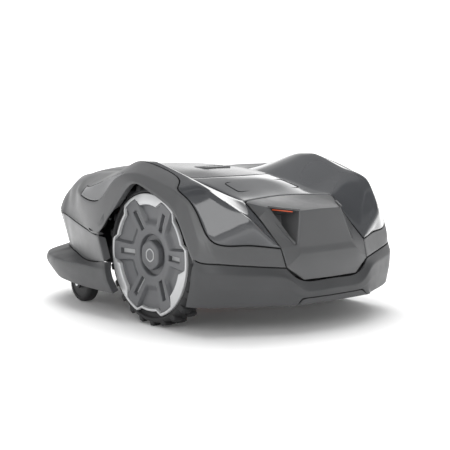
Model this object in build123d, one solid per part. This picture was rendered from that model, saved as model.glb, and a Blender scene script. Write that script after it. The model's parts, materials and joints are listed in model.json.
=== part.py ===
"""Robotic lawn mower: floating body cover over a wheeled chassis with a height-adjusted cutting unit.

Frame: +Z up, front towards -Y, the mower's own left is +X, origin on the ground under the middle.
All sizes are in millimetres. Heights in this file are measured from a datum plane a little above
the ground, and every part is raised by DATUM when it is written.
"""

from build123d import *
import math
import os

# ---------------------------------------------------------------- driving dimensions
LENGTH = 656.0  # over bumper and skirt
REAR_Y = LENGTH / 2
PANEL = 2.5  # wall of the moulded panels
GAP = 1.6  # visible gap between neighbouring panels
DATUM = 4.5  # heights are drawn from a plane this far above the ground

AXLE_Y, AXLE_Z = 102.5, 118.0  # drive axle
TYRE_R = AXLE_Z + DATUM
TYRE_IN, TYRE_OUT = 178.0, 226.0  # inner and outer face of a drive tyre
TREAD = 6.0
TREAD_BLOCKS = 24
RIM_R = 88.0
FACE_R = 101.0  # moulded wheel cover
FACE_X = 221.0  # back of the wheel cover
RING_R = 106.5  # bright ring round the wheel cover
HUB_HEX_R = 34.0  # hexagonal well in the wheel cover, over its corners
AXLE_R = 8.0

CASTER_X, CASTER_Y = 176.0, -160.0  # swivel axis
CASTER_R, CASTER_W, CASTER_TRAIL = 35.0, 24.0, -12.0
CASTER_Z = CASTER_R - DATUM
CASTER_PIN_R, STEM_R = 4.0, 6.0

TRAY_X, TRAY_FRONT, TRAY_REAR = 160.0, -133.0, 232.0
TRAY_FLOOR, TRAY_TOP, TRAY_WALL = 75.0, 150.0, 3.0
BEAM_X, BEAM_FRONT, BEAM_Z0, BEAM_Z1 = 192.0, -182.0, 84.0, 118.0

CUT_Y = -35.0  # centre of the cutting disc
CUT_MOTOR_R, CUT_MOTOR_Z0, CUT_MOTOR_Z1 = 34.0, 45.0, 95.0
DISC_R, DISC_Z0, DISC_Z1 = 110.0, 24.0, 28.0
BLADE_PIVOT_R, BLADE_L, BLADE_W, BLADE_T = 96.0, 36.0, 18.0, 1.0
BLADES = 3
SPINDLE_Y, SPINDLE_R = 18.0, 5.0
CUT_TRAVEL = 40.0

CLEAR = 0.05  # radial running clearance of a shaft in its hole
POSTS = ((125.0, -110.0), (125.0, 175.0))  # rubber posts that carry the cover
RAIL_Z0, RAIL_Z1 = 184.0, 192.0

# ---------------------------------------------------------------- outer form of the cover
# Each section runs from the middle line outwards over one half of the cover: middle, hatch
# crown, hood edge, valley, ridge, crest, window top, shoulder, and the lower edge or arch lip.
SECTIONS = [
    [(0, -300, 168), (60, -299, 168), (105, -291, 168), (122, -286, 168), (145, -275, 168),
     (168, -258, 168), (185, -238, 168), (197, -221, 168), (204, -205, 167)],
    [(0, -297, 203), (58, -295, 203), (102, -286, 201), (118, -280, 200), (141, -269, 198),
     (162, -250, 197), (179, -230, 195), (193, -210, 193), (208, -195, 166)],
    [(0, -276, 231), (56, -273, 230), (100, -262, 228), (114, -255, 226.5), (136, -240, 227),
     (154, -220, 225), (172, -204, 219), (190, -194, 209), (210, -183, 164)],
    [(0, -230, 245), (55, -228, 244), (97, -219, 240.5), (110, -213, 238), (132, -203, 236.5),
     (155, -190, 236), (175, -180, 230), (200, -172, 214), (216, -160, 161)],
    [(0, -165, 252), (50, -165, 251), (95, -158, 246), (108, -156, 243), (138, -152, 241.5),
     (163, -148, 242), (185, -142, 236), (212, -138, 215), (222, -135, 157)],
    [(0, -95, 254.5), (54, -95, 253.5), (95, -95, 247), (108, -95, 244.5), (145, -92, 245.5),
     (176, -90, 247), (218, -96, 224), (230, -99, 207), (236, -78, 149)],
    [(0, -30, 254.5), (52, -30, 252.5), (95, -32, 246), (107, -32, 243), (155, -34, 249),
     (185, -38, 252), (230, -44, 232), (243, -28, 203), (248, -22, 142)],
    [(0, 25, 252), (50, 22, 250.5), (95, 10, 243.5), (105, 8, 241), (174, 6, 264),
     (196, 8, 266), (233, 0, 245), (243, 10, 230), (248, 28, 192)],
    [(0, 88, 242), (50, 80, 241.5), (95, 50, 239.5), (105, 48, 238.5), (184, 52, 275),
     (200, 50, 275), (233, 42, 257), (240, 44, 252), (245, 70, 235)],
    [(0, 118, 235), (50, 116, 234.5), (96, 110, 230.5), (105, 110, 229), (187, 92, 271),
     (198, 92, 269), (216, 92, 263), (232, 90, 256), (243, 104, 236)],
    [(0, 158, 223.5), (50, 160, 222.5), (96, 160, 219), (105, 162, 217.5), (181, 150, 254),
     (198, 152, 251), (214, 148, 248), (228, 142, 243), (240, 148, 218)],
    [(0, 195, 214), (50, 200, 213), (96, 206, 211), (103, 212, 208), (186, 180, 247.5),
     (218, 172, 236.5), (223, 176, 234), (226, 179, 231), (237.5, 180, 200)],
    [None, None, (95.5, 236, 186.5), (99, 240, 185), (187, 212, 237),
     (216, 199, 220), (220, 198, 217), (223, 196, 214), (234, 197, 175)],
    [None, None, (95, 266, 162), (98, 268, 162), (176, 240, 219),
     (211, 224, 187), (217, 219, 188), (222, 213, 189), (232, 213, 143)],
    [None, None, (94, 296, 138), (98, 296, 138.5), (150, 281, 184),
     (203, 248, 151), (214, 240, 150.5), (222, 233, 150), (232, 228, 119)],
]
MID, CROWN, HOOD, VALLEY, RIDGE, CREST, WINDOW, SHOULDER, EDGE = range(9)
LAST = len(SECTIONS) - 1
HATCH_FRONT, HATCH_REAR = 4, 8  # sections where the hatch begins and ends
DECK_FRONT, MODULE_FRONT = 6, 11
WINDOW_FRONT, WINDOW_REAR = 5, 8

# Nose and bumper, from the middle of the front round to the wheel arch.
WAIST = [(0, -282, 104), (60, -281, 104), (100, -274, 104), (116, -268, 104), (138, -258, 103),
         (157, -243, 102), (172, -228, 101), (182, -214, 100), (190, -200, 100), (193, -192, 99),
         (196, -183, 98), (204, -165, 97), (212, -140, 95), (228, -85, 89), (247, -2, 97)]
SHELF = [(0, -326, 86), (66, -324, 86), (112, -317, 86), (130, -311, 86), (156, -299, 86),
         (177, -284, 86), (194, -268, 86), (206, -252, 86), (216, -236, 86), (222, -226, 86),
         (227, -212, 86), (235, -188, 86), (243, -150, 85), (248, -85, 85), (249, 3, 84)]
BULGE = [(0, -REAR_Y, 72), (67, -326, 72), (114, -319, 72), (132, -313, 72), (157, -301, 72),
         (178, -286, 72), (195, -270, 72), (208, -254, 72), (218, -238, 72), (224, -227, 72),
         (229, -213, 72), (237, -189, 72), (244, -150, 71), (249, -84, 70), (249.5, 10, 66)]
FOOT = [(0, -308, 46), (62, -306, 46), (106, -300, 46), (122, -294, 46), (146, -282, 46),
        (166, -267, 46), (182, -252, 46), (195, -237, 46), (205, -223, 46), (211, -214, 46),
        (217, -203, 46), (227, -176, 45), (234, -140, 44), (242, -78, 43), (247, 24, 43)]

# Rear quarter and skirt, from the wheel arch round to the middle of the rear.
QUARTER_TOP = [SECTIONS[LAST][SHOULDER], SECTIONS[LAST][CREST], (150, 272, 146),
               SECTIONS[LAST][HOOD]]
SPLIT = [SECTIONS[LAST][EDGE], (222, 240, 119.5), (200, 258, 118), (150, 281, 112),
         (95, 307, 107), (61, 314, 84), (0, 318, 84)]
SKIRT_EDGE = [(231, 224.5, 104), (225, 241, 104), (204, 262, 102), (154, 288, 97),
              (99, 315, 91), (64, 323, 68), (0, REAR_Y, 68)]
SKIRT_FACE = [(232, 221, 78), (226, 238, 78), (205, 260, 77), (156, 288, 76),
              (101, 315, 74), (70, 322, 60), (0, REAR_Y - 0.5, 60)]
HEM = [(234, 213, 45), (225, 231, 45), (202, 255, 45), (152, 285, 45),
       (100, 312, 45), (84, 320, 45), (0, 326, 45)]
PLATE_TOP = [(100, 313, 56), (71, 321, 56), (0, 327, 56)]

# Rear module: top plate, upright face and the hand recess beside it.
TOP_REAR = [(0, 289, 198), (49, 288, 197)]
FACE_LOW = [(0, 305, 137), (62, 303, 137)]
RECESS = [(79, 246, 201), (49, 288, 197), (66, 300, 141)]
RECESS_BACK = [(72, 222, 184), (47, 240, 186), (60, 258, 150)]

PARTS = {}


# ---------------------------------------------------------------- helpers
def vec(a, b):
    return tuple(q - p for p, q in zip(a, b))


def cross(a, b):
    return (a[1] * b[2] - a[2] * b[1], a[2] * b[0] - a[0] * b[2], a[0] * b[1] - a[1] * b[0])


def unit(a):
    length = math.sqrt(sum(c * c for c in a)) or 1.0
    return tuple(c / length for c in a)


def move(p, direction, distance):
    return tuple(c + d * distance for c, d in zip(p, direction))


def key(p):
    return tuple(round(c, 3) for c in p)


def mirror_point(p):
    return (-p[0], p[1], p[2])


def both_halves(cells):
    """Cells of the left half and their mirror images, all counter-clockwise from outside."""
    return cells + [[mirror_point(p) for p in reversed(cell)] for cell in cells]


def triangles(cell):
    """A fan of triangles over a cell, without the ones that have no area."""
    fan = [(cell[0], cell[i], cell[i + 1]) for i in range(1, len(cell) - 1)]
    return [t for t in fan if len({key(p) for p in t}) == 3]


def face_normal(cell):
    total = (0.0, 0.0, 0.0)
    for a, b, c in triangles(cell):
        total = move(total, cross(vec(a, b), vec(a, c)), 1.0)
    return total


def normals(cells):
    """Unit normal at each corner, from all the cells that meet there."""
    sums = {}
    for cell in cells:
        n = unit(face_normal(cell))
        for p in cell:
            sums[key(p)] = move(sums.get(key(p), (0.0, 0.0, 0.0)), n, 1.0)
    return {k: unit(n) for k, n in sums.items()}


def polyhedron(faces):
    """Closed solid from flat triangles."""
    made = [Face(Wire.make_polygon([Vector(*p) for p in t], close=True)) for t in faces]
    solid = Solid(Shell(made))
    return solid if solid.volume > 0 else Solid(Shell([-f for f in made]))


def panel(cells, form, wall=PANEL, gap=GAP):
    """Thin closed shell under a patch of the outer form, drawn back half a gap at its rim."""
    edges = {}
    for cell in cells:
        n = unit(face_normal(cell))
        for a, b in zip(cell, cell[1:] + cell[:1]):
            edges[(key(a), key(b))] = n
    rim = {e: n for e, n in edges.items() if (e[1], e[0]) not in edges and e[0] != e[1]}
    inward = {}
    for (a, b), n in rim.items():
        side = unit(cross(n, unit(vec(a, b))))
        for p in (a, b):
            inward.setdefault(p, []).append(side)
    outer = {}
    for p in {key(q) for cell in cells for q in cell}:
        sides = inward.get(p, [])
        total = unit(tuple(sum(s[i] for s in sides) for i in range(3))) if sides else (0, 0, 0)
        lean = max(0.5, sum(total[i] * sides[0][i] for i in range(3))) if sides else 1.0
        outer[p] = move(p, total, gap / 2 / lean)
    inner = {p: move(q, form[p], -wall) for p, q in outer.items()}
    skin = [tuple(key(p) for p in t) for cell in cells for t in triangles(cell)]
    faces = [tuple(outer[p] for p in t) for t in skin]
    faces += [tuple(inner[p] for p in reversed(t)) for t in skin]
    for a, b in rim:
        faces += [(outer[b], outer[a], inner[a]), (outer[b], inner[a], inner[b])]
    return polyhedron(faces)


def strip(upper, lower):
    """Cells between two lines of the same number of points, upper line first."""
    return [[upper[i], lower[i], lower[i + 1], upper[i + 1]] for i in range(len(upper) - 1)]


def grid(first, last, inner, outer):
    """Cells of the section table between two sections and two rows."""
    return [[SECTIONS[i][r], SECTIONS[i][r + 1], SECTIONS[i + 1][r + 1], SECTIONS[i + 1][r]]
            for i in range(first, last) for r in range(inner, outer)]


def block(x0, x1, y0, y1, z0, z1):
    return Pos((x0 + x1) / 2, (y0 + y1) / 2, (z0 + z1) / 2) * Box(x1 - x0, y1 - y0, z1 - z0)


def disc_z(r, x, y, z0, z1):
    return Pos(x, y, (z0 + z1) / 2) * Cylinder(r, z1 - z0)


def disc_x(r, x0, x1, y, z):
    return Pos((x0 + x1) / 2, y, z) * Rot(0, 90, 0) * Cylinder(r, x1 - x0)


def both(make):
    """A part and its mirror image as one shape of separate solids."""
    return Compound(children=[make, mirror(make, about=Plane.YZ)])


def surface_z(x, y, cells):
    """Height of the outer form over a point."""
    heights = []
    for cell in cells:
        for a, b, c in triangles(cell):
            area = (b[0] - a[0]) * (c[1] - a[1]) - (c[0] - a[0]) * (b[1] - a[1])
            if abs(area) < 1e-6:
                continue
            u = ((b[0] - x) * (c[1] - y) - (c[0] - x) * (b[1] - y)) / area
            v = ((c[0] - x) * (a[1] - y) - (a[0] - x) * (c[1] - y)) / area
            if u >= 0 and v >= 0 and u + v <= 1:
                heights.append(u * a[2] + v * b[2] + (1 - u - v) * c[2])
    return max(heights)


# ---------------------------------------------------------------- body cover
def cover_cells():
    """The outer form of one half, sorted into its panels."""
    hatch_edge, crown = SECTIONS[HATCH_FRONT], SECTIONS[HATCH_FRONT + 1]
    corner = [[hatch_edge[CROWN], crown[HOOD], crown[CROWN]]]
    edge = SPLIT[:5]
    cells = {}
    cells["hatch"] = (grid(HATCH_FRONT, HATCH_FRONT + 1, MID, CROWN) + corner
                      + grid(HATCH_FRONT + 1, HATCH_REAR, MID, HOOD))
    cells["window"] = grid(WINDOW_FRONT, WINDOW_REAR, WINDOW, SHOULDER)
    cells["top"] = (grid(0, HATCH_FRONT, MID, EDGE)
                    + [[hatch_edge[CROWN], hatch_edge[HOOD], crown[HOOD]]]
                    + grid(HATCH_FRONT, WINDOW_FRONT, HOOD, EDGE)
                    + grid(WINDOW_FRONT, DECK_FRONT, HOOD, WINDOW)
                    + grid(DECK_FRONT, WINDOW_REAR, CREST, WINDOW)
                    + grid(WINDOW_FRONT, WINDOW_REAR, SHOULDER, EDGE)
                    + grid(WINDOW_REAR, LAST, CREST, EDGE)
                    + [[QUARTER_TOP[0], edge[0], edge[1]],
                       [SECTIONS[LAST][WINDOW], QUARTER_TOP[0], edge[1], edge[2]],
                       [QUARTER_TOP[1], SECTIONS[LAST][WINDOW], edge[2]]]
                    + strip(QUARTER_TOP[1:], edge[2:]))
    cells["deck"] = (grid(DECK_FRONT, HATCH_REAR, HOOD, CREST)
                     + grid(HATCH_REAR, MODULE_FRONT, MID, CREST)
                     + grid(MODULE_FRONT, LAST, HOOD, CREST)
                     + [[SECTIONS[LAST][RIDGE], SECTIONS[LAST][CREST], QUARTER_TOP[2]],
                        [SECTIONS[LAST][RIDGE], QUARTER_TOP[2], SECTIONS[LAST][VALLEY]],
                        [SECTIONS[LAST][VALLEY], QUARTER_TOP[2], SECTIONS[LAST][HOOD]]])
    nose = SECTIONS[0] + [s[EDGE] for s in SECTIONS[1:DECK_FRONT + 1]]
    cells["nose"] = strip(nose, WAIST)
    cells["bumper"] = strip(WAIST, SHELF) + strip(SHELF, BULGE) + strip(BULGE, FOOT)
    cells["skirt"] = (strip(SPLIT, SKIRT_EDGE) + strip(SKIRT_EDGE, SKIRT_FACE)
                      + strip(SKIRT_FACE[:5], HEM[:4] + [PLATE_TOP[0]])
                      + [[HEM[3], HEM[4], PLATE_TOP[0]]]
                      + strip(SKIRT_FACE[4:], PLATE_TOP)
                      + [[PLATE_TOP[0], HEM[4], HEM[5], PLATE_TOP[1]]])
    cells["service"] = strip(PLATE_TOP[1:], HEM[5:])
    cells["module"] = module_cells()
    return cells


def module_cells():
    front = SECTIONS[MODULE_FRONT]
    side = [SECTIONS[i][HOOD] for i in range(MODULE_FRONT, LAST + 1)]
    diagonal = tuple((a + b) / 2 for a, b in zip(RECESS[0], RECESS[2]))
    top = [[front[MID], front[CROWN], TOP_REAR[1], TOP_REAR[0]],
           [front[CROWN], front[HOOD], RECESS[0]], [front[CROWN], RECESS[0], TOP_REAR[1]]]
    face = [[TOP_REAR[0], TOP_REAR[1], FACE_LOW[1], FACE_LOW[0]],
            [FACE_LOW[0], FACE_LOW[1], SPLIT[5], SPLIT[6]],
            [FACE_LOW[1], side[3], SPLIT[4], SPLIT[5]]]
    frame = [[side[0], side[1], RECESS[0]], [side[1], side[2], diagonal, RECESS[0]],
             [side[2], side[3], RECESS[2], diagonal], [side[3], FACE_LOW[1], RECESS[2]],
             [RECESS[1], RECESS[2], FACE_LOW[1]]]
    pocket = [[RECESS[0], RECESS_BACK[0], RECESS_BACK[1], RECESS[1]],
              [RECESS[1], RECESS_BACK[1], RECESS_BACK[2], RECESS[2]],
              [RECESS[2], RECESS_BACK[2], RECESS_BACK[0], diagonal],
              [diagonal, RECESS_BACK[0], RECESS[0]],
              [RECESS_BACK[0], RECESS_BACK[2], RECESS_BACK[1]]]
    return top + face + frame + pocket


def make_cover():
    cells = cover_cells()
    whole = both_halves([c for group in cells.values() for c in group])
    form = normals(whole)
    shell = {name: panel(both_halves(group), form) for name, group in cells.items()
             if name != "window"}
    PARTS["top_cover"] = shell["top"]
    PARTS["deck_cover"] = shell["deck"]
    PARTS["nose_cover"] = shell["nose"]
    PARTS["front_bumper"] = shell["bumper"]
    PARTS["rear_skirt"] = shell["skirt"]
    PARTS["service_plate"] = shell["service"]
    PARTS["rear_module"] = shell["module"]
    left = panel(cells["window"], form)
    PARTS["side_window_left"] = left
    PARTS["side_window_right"] = mirror(left, about=Plane.YZ)
    make_hatch(shell["hatch"])
    make_trim()
    make_cover_frame([c for group in cells.values() for c in group])


STOP_X, STOP_Y0, STOP_Y1 = 32.0, -22.0, 18.0
HINGE_Y, HINGE_Z, HINGE_R = -163.2, 249.9, 1.4
EAR_X = 36.0


def make_hatch(plate):
    """Hatch with its stop button well, hinged at its front edge."""
    well = block(-STOP_X - 1, STOP_X + 1, STOP_Y0 - 1, STOP_Y1 + 1, 238, 264)
    guide = (block(-20, 20, -12, 8, 243.0, 245.0) - block(-5, 5, -7, 3, 241.5, 246.5))
    ledge = block(-STOP_X - 4, STOP_X + 4, STOP_Y0 - 4, STOP_Y1 + 4, 243.0, 252.0)
    ledge -= block(-STOP_X - 1, STOP_X + 1, STOP_Y0 - 1, STOP_Y1 + 1, 245.0, 256)
    ledge -= block(-5, 5, -7, 3, 241.5, 246.5)
    hatch = (plate - well) + ledge + guide
    hatch -= block(-70, 70, HINGE_Y - 8, HINGE_Y + 2.4, 233, 263)
    for x in (-28, 28):
        hatch += disc_x(2.2, x - 4, x + 4, HINGE_Y, HINGE_Z)
        hatch += block(x - 4, x + 4, HINGE_Y + 0.2, HINGE_Y + 4, HINGE_Z - 1.4, HINGE_Z + 0.6)
    for x in (-EAR_X, EAR_X):
        hatch -= block(x - 3.2, x + 3.2, HINGE_Y - 6, HINGE_Y + 6.6, 233, 263)
    hatch -= disc_x(HINGE_R + CLEAR, -60, 60, HINGE_Y, HINGE_Z)
    PARTS["hatch_panel"] = hatch
    button = block(-STOP_X, STOP_X, STOP_Y0, STOP_Y1, 249.7, 255.7)
    button = fillet(button.edges().group_by(Axis.Z)[-1], 2.0)
    PARTS["stop_button"] = button + block(-4.9, 4.9, -6.9, 2.9, 235.5, 249.7)
    pin = disc_x(HINGE_R, -44, 44, HINGE_Y, HINGE_Z)
    PARTS["hatch_pin"] = pin


def bar_between(a, b, width, height, drop):
    """A square bar below the line from a to b."""
    along = unit(vec(a, b))
    side = unit(cross(along, (0, 0, 1)))
    corners = []
    for p in (a, b):
        low = move(p, (0, 0, -1), drop)
        for s, t in ((-1, 0), (1, 0), (1, 1), (-1, 1)):
            corners.append(move(move(low, side, s * width / 2), (0, 0, -1), t * height))
    quads = [(0, 1, 2, 3), (4, 7, 6, 5), (0, 4, 5, 1), (1, 5, 6, 2), (2, 6, 7, 3), (3, 7, 4, 0)]
    return polyhedron([t for q in quads for t in triangles([corners[i] for i in q])])


def make_trim():
    """Coloured strips in the hand recesses and the blank plate on the deck."""
    start = move(RECESS[0], unit(vec(RECESS[0], RECESS[1])), 8)
    end = move(RECESS[1], unit(vec(RECESS[1], RECESS[0])), 10)
    toward = unit(vec(RECESS_BACK[1], RECESS[1]))
    start, end = move(start, toward, -6), move(end, toward, -6)
    PARTS["grip_strips"] = both(bar_between(start, end, 3.0, 3.0, 5.5))
    low, high = SECTIONS[9], SECTIONS[10]
    tilt = math.degrees(math.atan2(high[0][2] - low[0][2], high[0][1] - low[0][1]))
    middle = [(a + b) / 2 for a, b in zip(low[CROWN], high[CROWN])]
    plate = Pos(0, middle[1], middle[2] + 1.9) * Rot(tilt, 0, 0) * Box(118, 34, 1.0)
    PARTS["name_plate"] = fillet(plate.edges().filter_by(Axis.Z, tolerance=20), 5.0)


def make_cover_frame(cells):
    """Frame under the panels that sits on the rubber posts."""
    frame = block(110, 140, -196, 196, RAIL_Z0, RAIL_Z1)
    frame += block(-140, -110, -196, 196, RAIL_Z0, RAIL_Z1)
    frame += block(-140, 140, -196, -180, RAIL_Z0, RAIL_Z1)
    frame += block(-140, 140, 180, 196, RAIL_Z0, RAIL_Z1)
    for x in (-125, 125):
        for y in (-188, -40, 70, 188):
            top = min(surface_z(abs(x) + dx, y + dy, cells)
                      for dx in (-7, 0, 7) for dy in (-7, 0, 7)) - PANEL - 3.2
            frame += disc_z(6, x, y, RAIL_Z1 - 1, top)
    for x in (-EAR_X, EAR_X):
        frame += block(x - 2, x + 2, -194, -186, RAIL_Z1 - 1, HINGE_Z - 8)
        frame += block(x - 2, x + 2, -194, HINGE_Y + 2, HINGE_Z - 14, HINGE_Z - 8)
        frame += block(x - 2, x + 2, HINGE_Y - 2, HINGE_Y + 2, HINGE_Z - 9, HINGE_Z)
        frame += disc_x(2.2, x - 2, x + 2, HINGE_Y, HINGE_Z)
    PARTS["cover_frame"] = frame - disc_x(HINGE_R + CLEAR, -60, 60, HINGE_Y, HINGE_Z)


# ---------------------------------------------------------------- drive wheels
def polar_outline(radius, steps):
    """Closed outline from a radius that depends on the angle in degrees."""
    points = []
    for k in range(steps):
        angle = 360.0 * k / steps
        r = radius(angle)
        points.append((r * math.cos(math.radians(angle)), r * math.sin(math.radians(angle))))
    return points


def wheel_plane(x):
    """Plane across the wheel at x, drawn as seen from outside the left wheel."""
    return Plane(origin=(x, AXLE_Y, AXLE_Z), x_dir=(0, 1, 0), z_dir=(1, 0, 0))


def on_wheel(x0, x1, sketch):
    return extrude(wheel_plane(x0) * sketch, amount=x1 - x0)


def make_tyre():
    base = TYRE_R - TREAD
    bead = FACE_X - 2.0
    profile = [(TYRE_IN + 5, RIM_R), (FACE_X - 3, RIM_R), (bead, RING_R + 0.5),
               (FACE_X + 3, RING_R + 1.5), (TYRE_OUT, RING_R + 3), (TYRE_OUT - 3, base - 3),
               (TYRE_OUT - 9, base), (TYRE_IN + 9, base), (TYRE_IN + 4, base - 2),
               (TYRE_IN, base - 11), (TYRE_IN + 1, RIM_R + 8)]
    limit = [(TYRE_IN, RIM_R - 5), (TYRE_OUT, RIM_R - 5), (TYRE_OUT, RING_R + 3),
             (TYRE_OUT - 4, base), (TYRE_OUT - 10, TYRE_R + 0.5), (TYRE_IN + 10, TYRE_R + 0.5),
             (TYRE_IN + 4, base), (TYRE_IN, base - 11)]
    tyre = revolve(Plane.XY * make_face(Polyline(*profile, close=True)), Axis.X)
    envelope = revolve(Plane.XY * make_face(Polyline(*limit, close=True)), Axis.X)
    half = (TYRE_OUT - TYRE_IN) / 2
    middle = (TYRE_OUT + TYRE_IN) / 2
    blocks = []
    for k in range(TREAD_BLOCKS):
        for side in (-1, 1):
            angle = 360.0 * (k + (0.0 if side > 0 else 0.5)) / TREAD_BLOCKS
            lug = Pos(side * half * 0.5, 0, base + TREAD / 2 - 1.3)
            lug *= Rot(0, 0, side * 18) * Box(half * 0.92, 11.5, TREAD + 2.6)
            blocks.append(Pos(middle, 0, 0) * Rot(angle, 0, 0) * lug)
    return Pos(0, AXLE_Y, AXLE_Z) * (tyre.fuse(*blocks) & envelope)


def make_rim():
    barrel = disc_x(RIM_R, TYRE_IN + 5, FACE_X - 3, AXLE_Y, AXLE_Z)
    barrel -= disc_x(RIM_R - 4, TYRE_IN, FACE_X, AXLE_Y, AXLE_Z)
    rim = barrel + disc_x(RIM_R - 2, 200, 204, AXLE_Y, AXLE_Z) + disc_x(19, 186, 213, AXLE_Y, AXLE_Z)
    for k in range(6):
        rim += Pos(194, AXLE_Y, AXLE_Z) * Rot(60 * k, 0, 0) * Pos(0, 0, 51) * Box(14, 5, 68)
    return rim - disc_x(AXLE_R, 170, 230, AXLE_Y, AXLE_Z)


def ring_inner(angle):
    """Inner edge of the bright ring: broad at every third spoke."""
    return FACE_R - (13.0 if abs((angle - 90.0) % 120.0 - 60.0) > 48.0 else 0.0)


def ring_outer(angle):
    """Outer edge of the bright ring: drawn in between the broad places."""
    return RING_R - (4.0 if abs((angle - 90.0) % 120.0 - 60.0) < 12.0 else 0.0)


def make_wheel_face():
    inner = polar_outline(lambda a: ring_inner(a) - 0.6, 180)
    plate = on_wheel(FACE_X - 0.2, FACE_X + 7, make_face(Polyline(*inner, close=True)))
    plate += disc_x(RING_R - 4.5, FACE_X - 1.5, FACE_X, AXLE_Y, AXLE_Z)
    plate += (disc_x(RIM_R, FACE_X - 3, FACE_X, AXLE_Y, AXLE_Z)
              - disc_x(RIM_R - 4, FACE_X - 4, FACE_X - 1.5, AXLE_Y, AXLE_Z))
    ring_in = polar_outline(ring_inner, 180)
    ring_out = polar_outline(ring_outer, 180)
    ring = on_wheel(FACE_X, FACE_X + 8, make_face(Polyline(*ring_out, close=True)))
    ring -= on_wheel(FACE_X - 1, FACE_X + 9, make_face(Polyline(*ring_in, close=True)))
    plate -= on_wheel(FACE_X + 1.5, FACE_X + 8, RegularPolygon(HUB_HEX_R, 6, rotation=30))
    for k in range(6):
        placed = Rot(0, 0, 60 * k) * Pos(66, 0) * SlotOverall(34, 9)
        plate -= on_wheel(FACE_X + 1.0, FACE_X + 8, placed)
        pocket = Rot(0, 0, 60 * k + 30) * Pos(72, 0) * Trapezoid(30, 18, 70, rotation=-90)
        plate -= on_wheel(FACE_X + 4.0, FACE_X + 8, pocket)
    cap = on_wheel(FACE_X + 1.5, FACE_X + 9, RegularPolygon(24, 6, rotation=30))
    cap = chamfer(cap.faces().sort_by(Axis.X)[-1].edges(), 2.0)
    return plate, ring, cap


def make_wheels():
    face, ring, cap = make_wheel_face()
    axle = disc_x(AXLE_R, 146, 216, AXLE_Y, AXLE_Z)
    axle += on_wheel(213, 218.5, RegularPolygon(10.5, 6))
    left = {"drive_tyre": make_tyre(), "drive_rim": make_rim(), "wheel_cover": face,
            "wheel_ring": ring, "hub_cap": cap, "wheel_axle": axle}
    for name, shape in left.items():
        PARTS[name + "_left"] = shape
        PARTS[name + "_right"] = mirror(shape, about=Plane.YZ)


# ---------------------------------------------------------------- caster wheels
def make_casters():
    x, y = CASTER_X, CASTER_Y + CASTER_TRAIL
    leg = CASTER_W / 2 + 2
    fork = disc_z(STEM_R, x, CASTER_Y, 76, 124) + disc_z(15, x, CASTER_Y, 76, 82)
    fork += block(x - leg - 4, x + leg + 4, y - 9, CASTER_Y + 10, 70, 77)
    for side in (-1, 1):
        inner, outer = sorted((x + side * leg, x + side * (leg + 4)))
        fork += block(inner, outer, y - 9, y + 11, CASTER_Z, 73) + disc_x(9, inner, outer, y, CASTER_Z)
    fork -= disc_x(CASTER_PIN_R, x - leg - 5, x + leg + 5, y, CASTER_Z)
    axle = disc_x(CASTER_PIN_R, x - leg - 5, x + leg + 5, y, CASTER_Z)
    tyre = disc_x(CASTER_R, x - CASTER_W / 2, x + CASTER_W / 2, y, CASTER_Z)
    tyre = fillet(tyre.edges(), 7.0)
    tyre -= disc_x(CASTER_R - 10, x - CASTER_W, x + CASTER_W, y, CASTER_Z)
    rim = disc_x(CASTER_R - 10, x - 11, x + 11, y, CASTER_Z)
    rim -= disc_x(CASTER_PIN_R + CLEAR, x - CASTER_W, x + CASTER_W, y, CASTER_Z)
    left = {"caster_fork": fork, "caster_axle": axle, "caster_tyre": tyre, "caster_rim": rim}
    for name, shape in left.items():
        PARTS[name + "_left"] = shape
        PARTS[name + "_right"] = mirror(shape, about=Plane.YZ)


# ---------------------------------------------------------------- chassis
SCREW_R = 2.5
SCREWS = [(x, y) for x in (-153.5, 153.5) for y in (-118.0, -20.0, 60.0, 150.0, 222.0)]


def make_tray():
    w = TRAY_WALL
    tray = block(-TRAY_X, TRAY_X, TRAY_FRONT, TRAY_REAR, TRAY_FLOOR, TRAY_TOP)
    tray -= block(-TRAY_X + w, TRAY_X - w, TRAY_FRONT + w, TRAY_REAR - w, TRAY_FLOOR + w, TRAY_TOP + 1)
    tray += block(-BEAM_X, BEAM_X, BEAM_FRONT, TRAY_FRONT, BEAM_Z0, BEAM_Z1)
    tray += disc_z(CUT_MOTOR_R + 5, 0, CUT_Y, TRAY_FLOOR, TRAY_FLOOR + 9)
    tray -= disc_z(CUT_MOTOR_R + 0.5, 0, CUT_Y, TRAY_FLOOR - 1, TRAY_FLOOR + 12)
    tray += disc_z(9, 0, SPINDLE_Y, TRAY_FLOOR, TRAY_FLOOR + 8)
    tray -= disc_z(SPINDLE_R + CLEAR, 0, SPINDLE_Y, TRAY_FLOOR + 3, TRAY_FLOOR + 12)
    for x, y in SCREWS:
        tray += disc_z(5, x, y, TRAY_FLOOR + 1, TRAY_TOP)
        tray -= disc_z(SCREW_R, x, y, TRAY_TOP - 20, TRAY_TOP + 1)
    for side in (-1, 1):
        inner, outer = sorted((side * (TRAY_X - 6), side * (TRAY_X + 8)))
        tray += disc_x(22, inner, outer, AXLE_Y, AXLE_Z)
        tray -= disc_x(16, inner - 9, outer + 9, AXLE_Y, AXLE_Z)
        tray -= disc_z(9, side * CASTER_X, CASTER_Y, BEAM_Z0 - 1, BEAM_Z1 + 1)
    return tray


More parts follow.
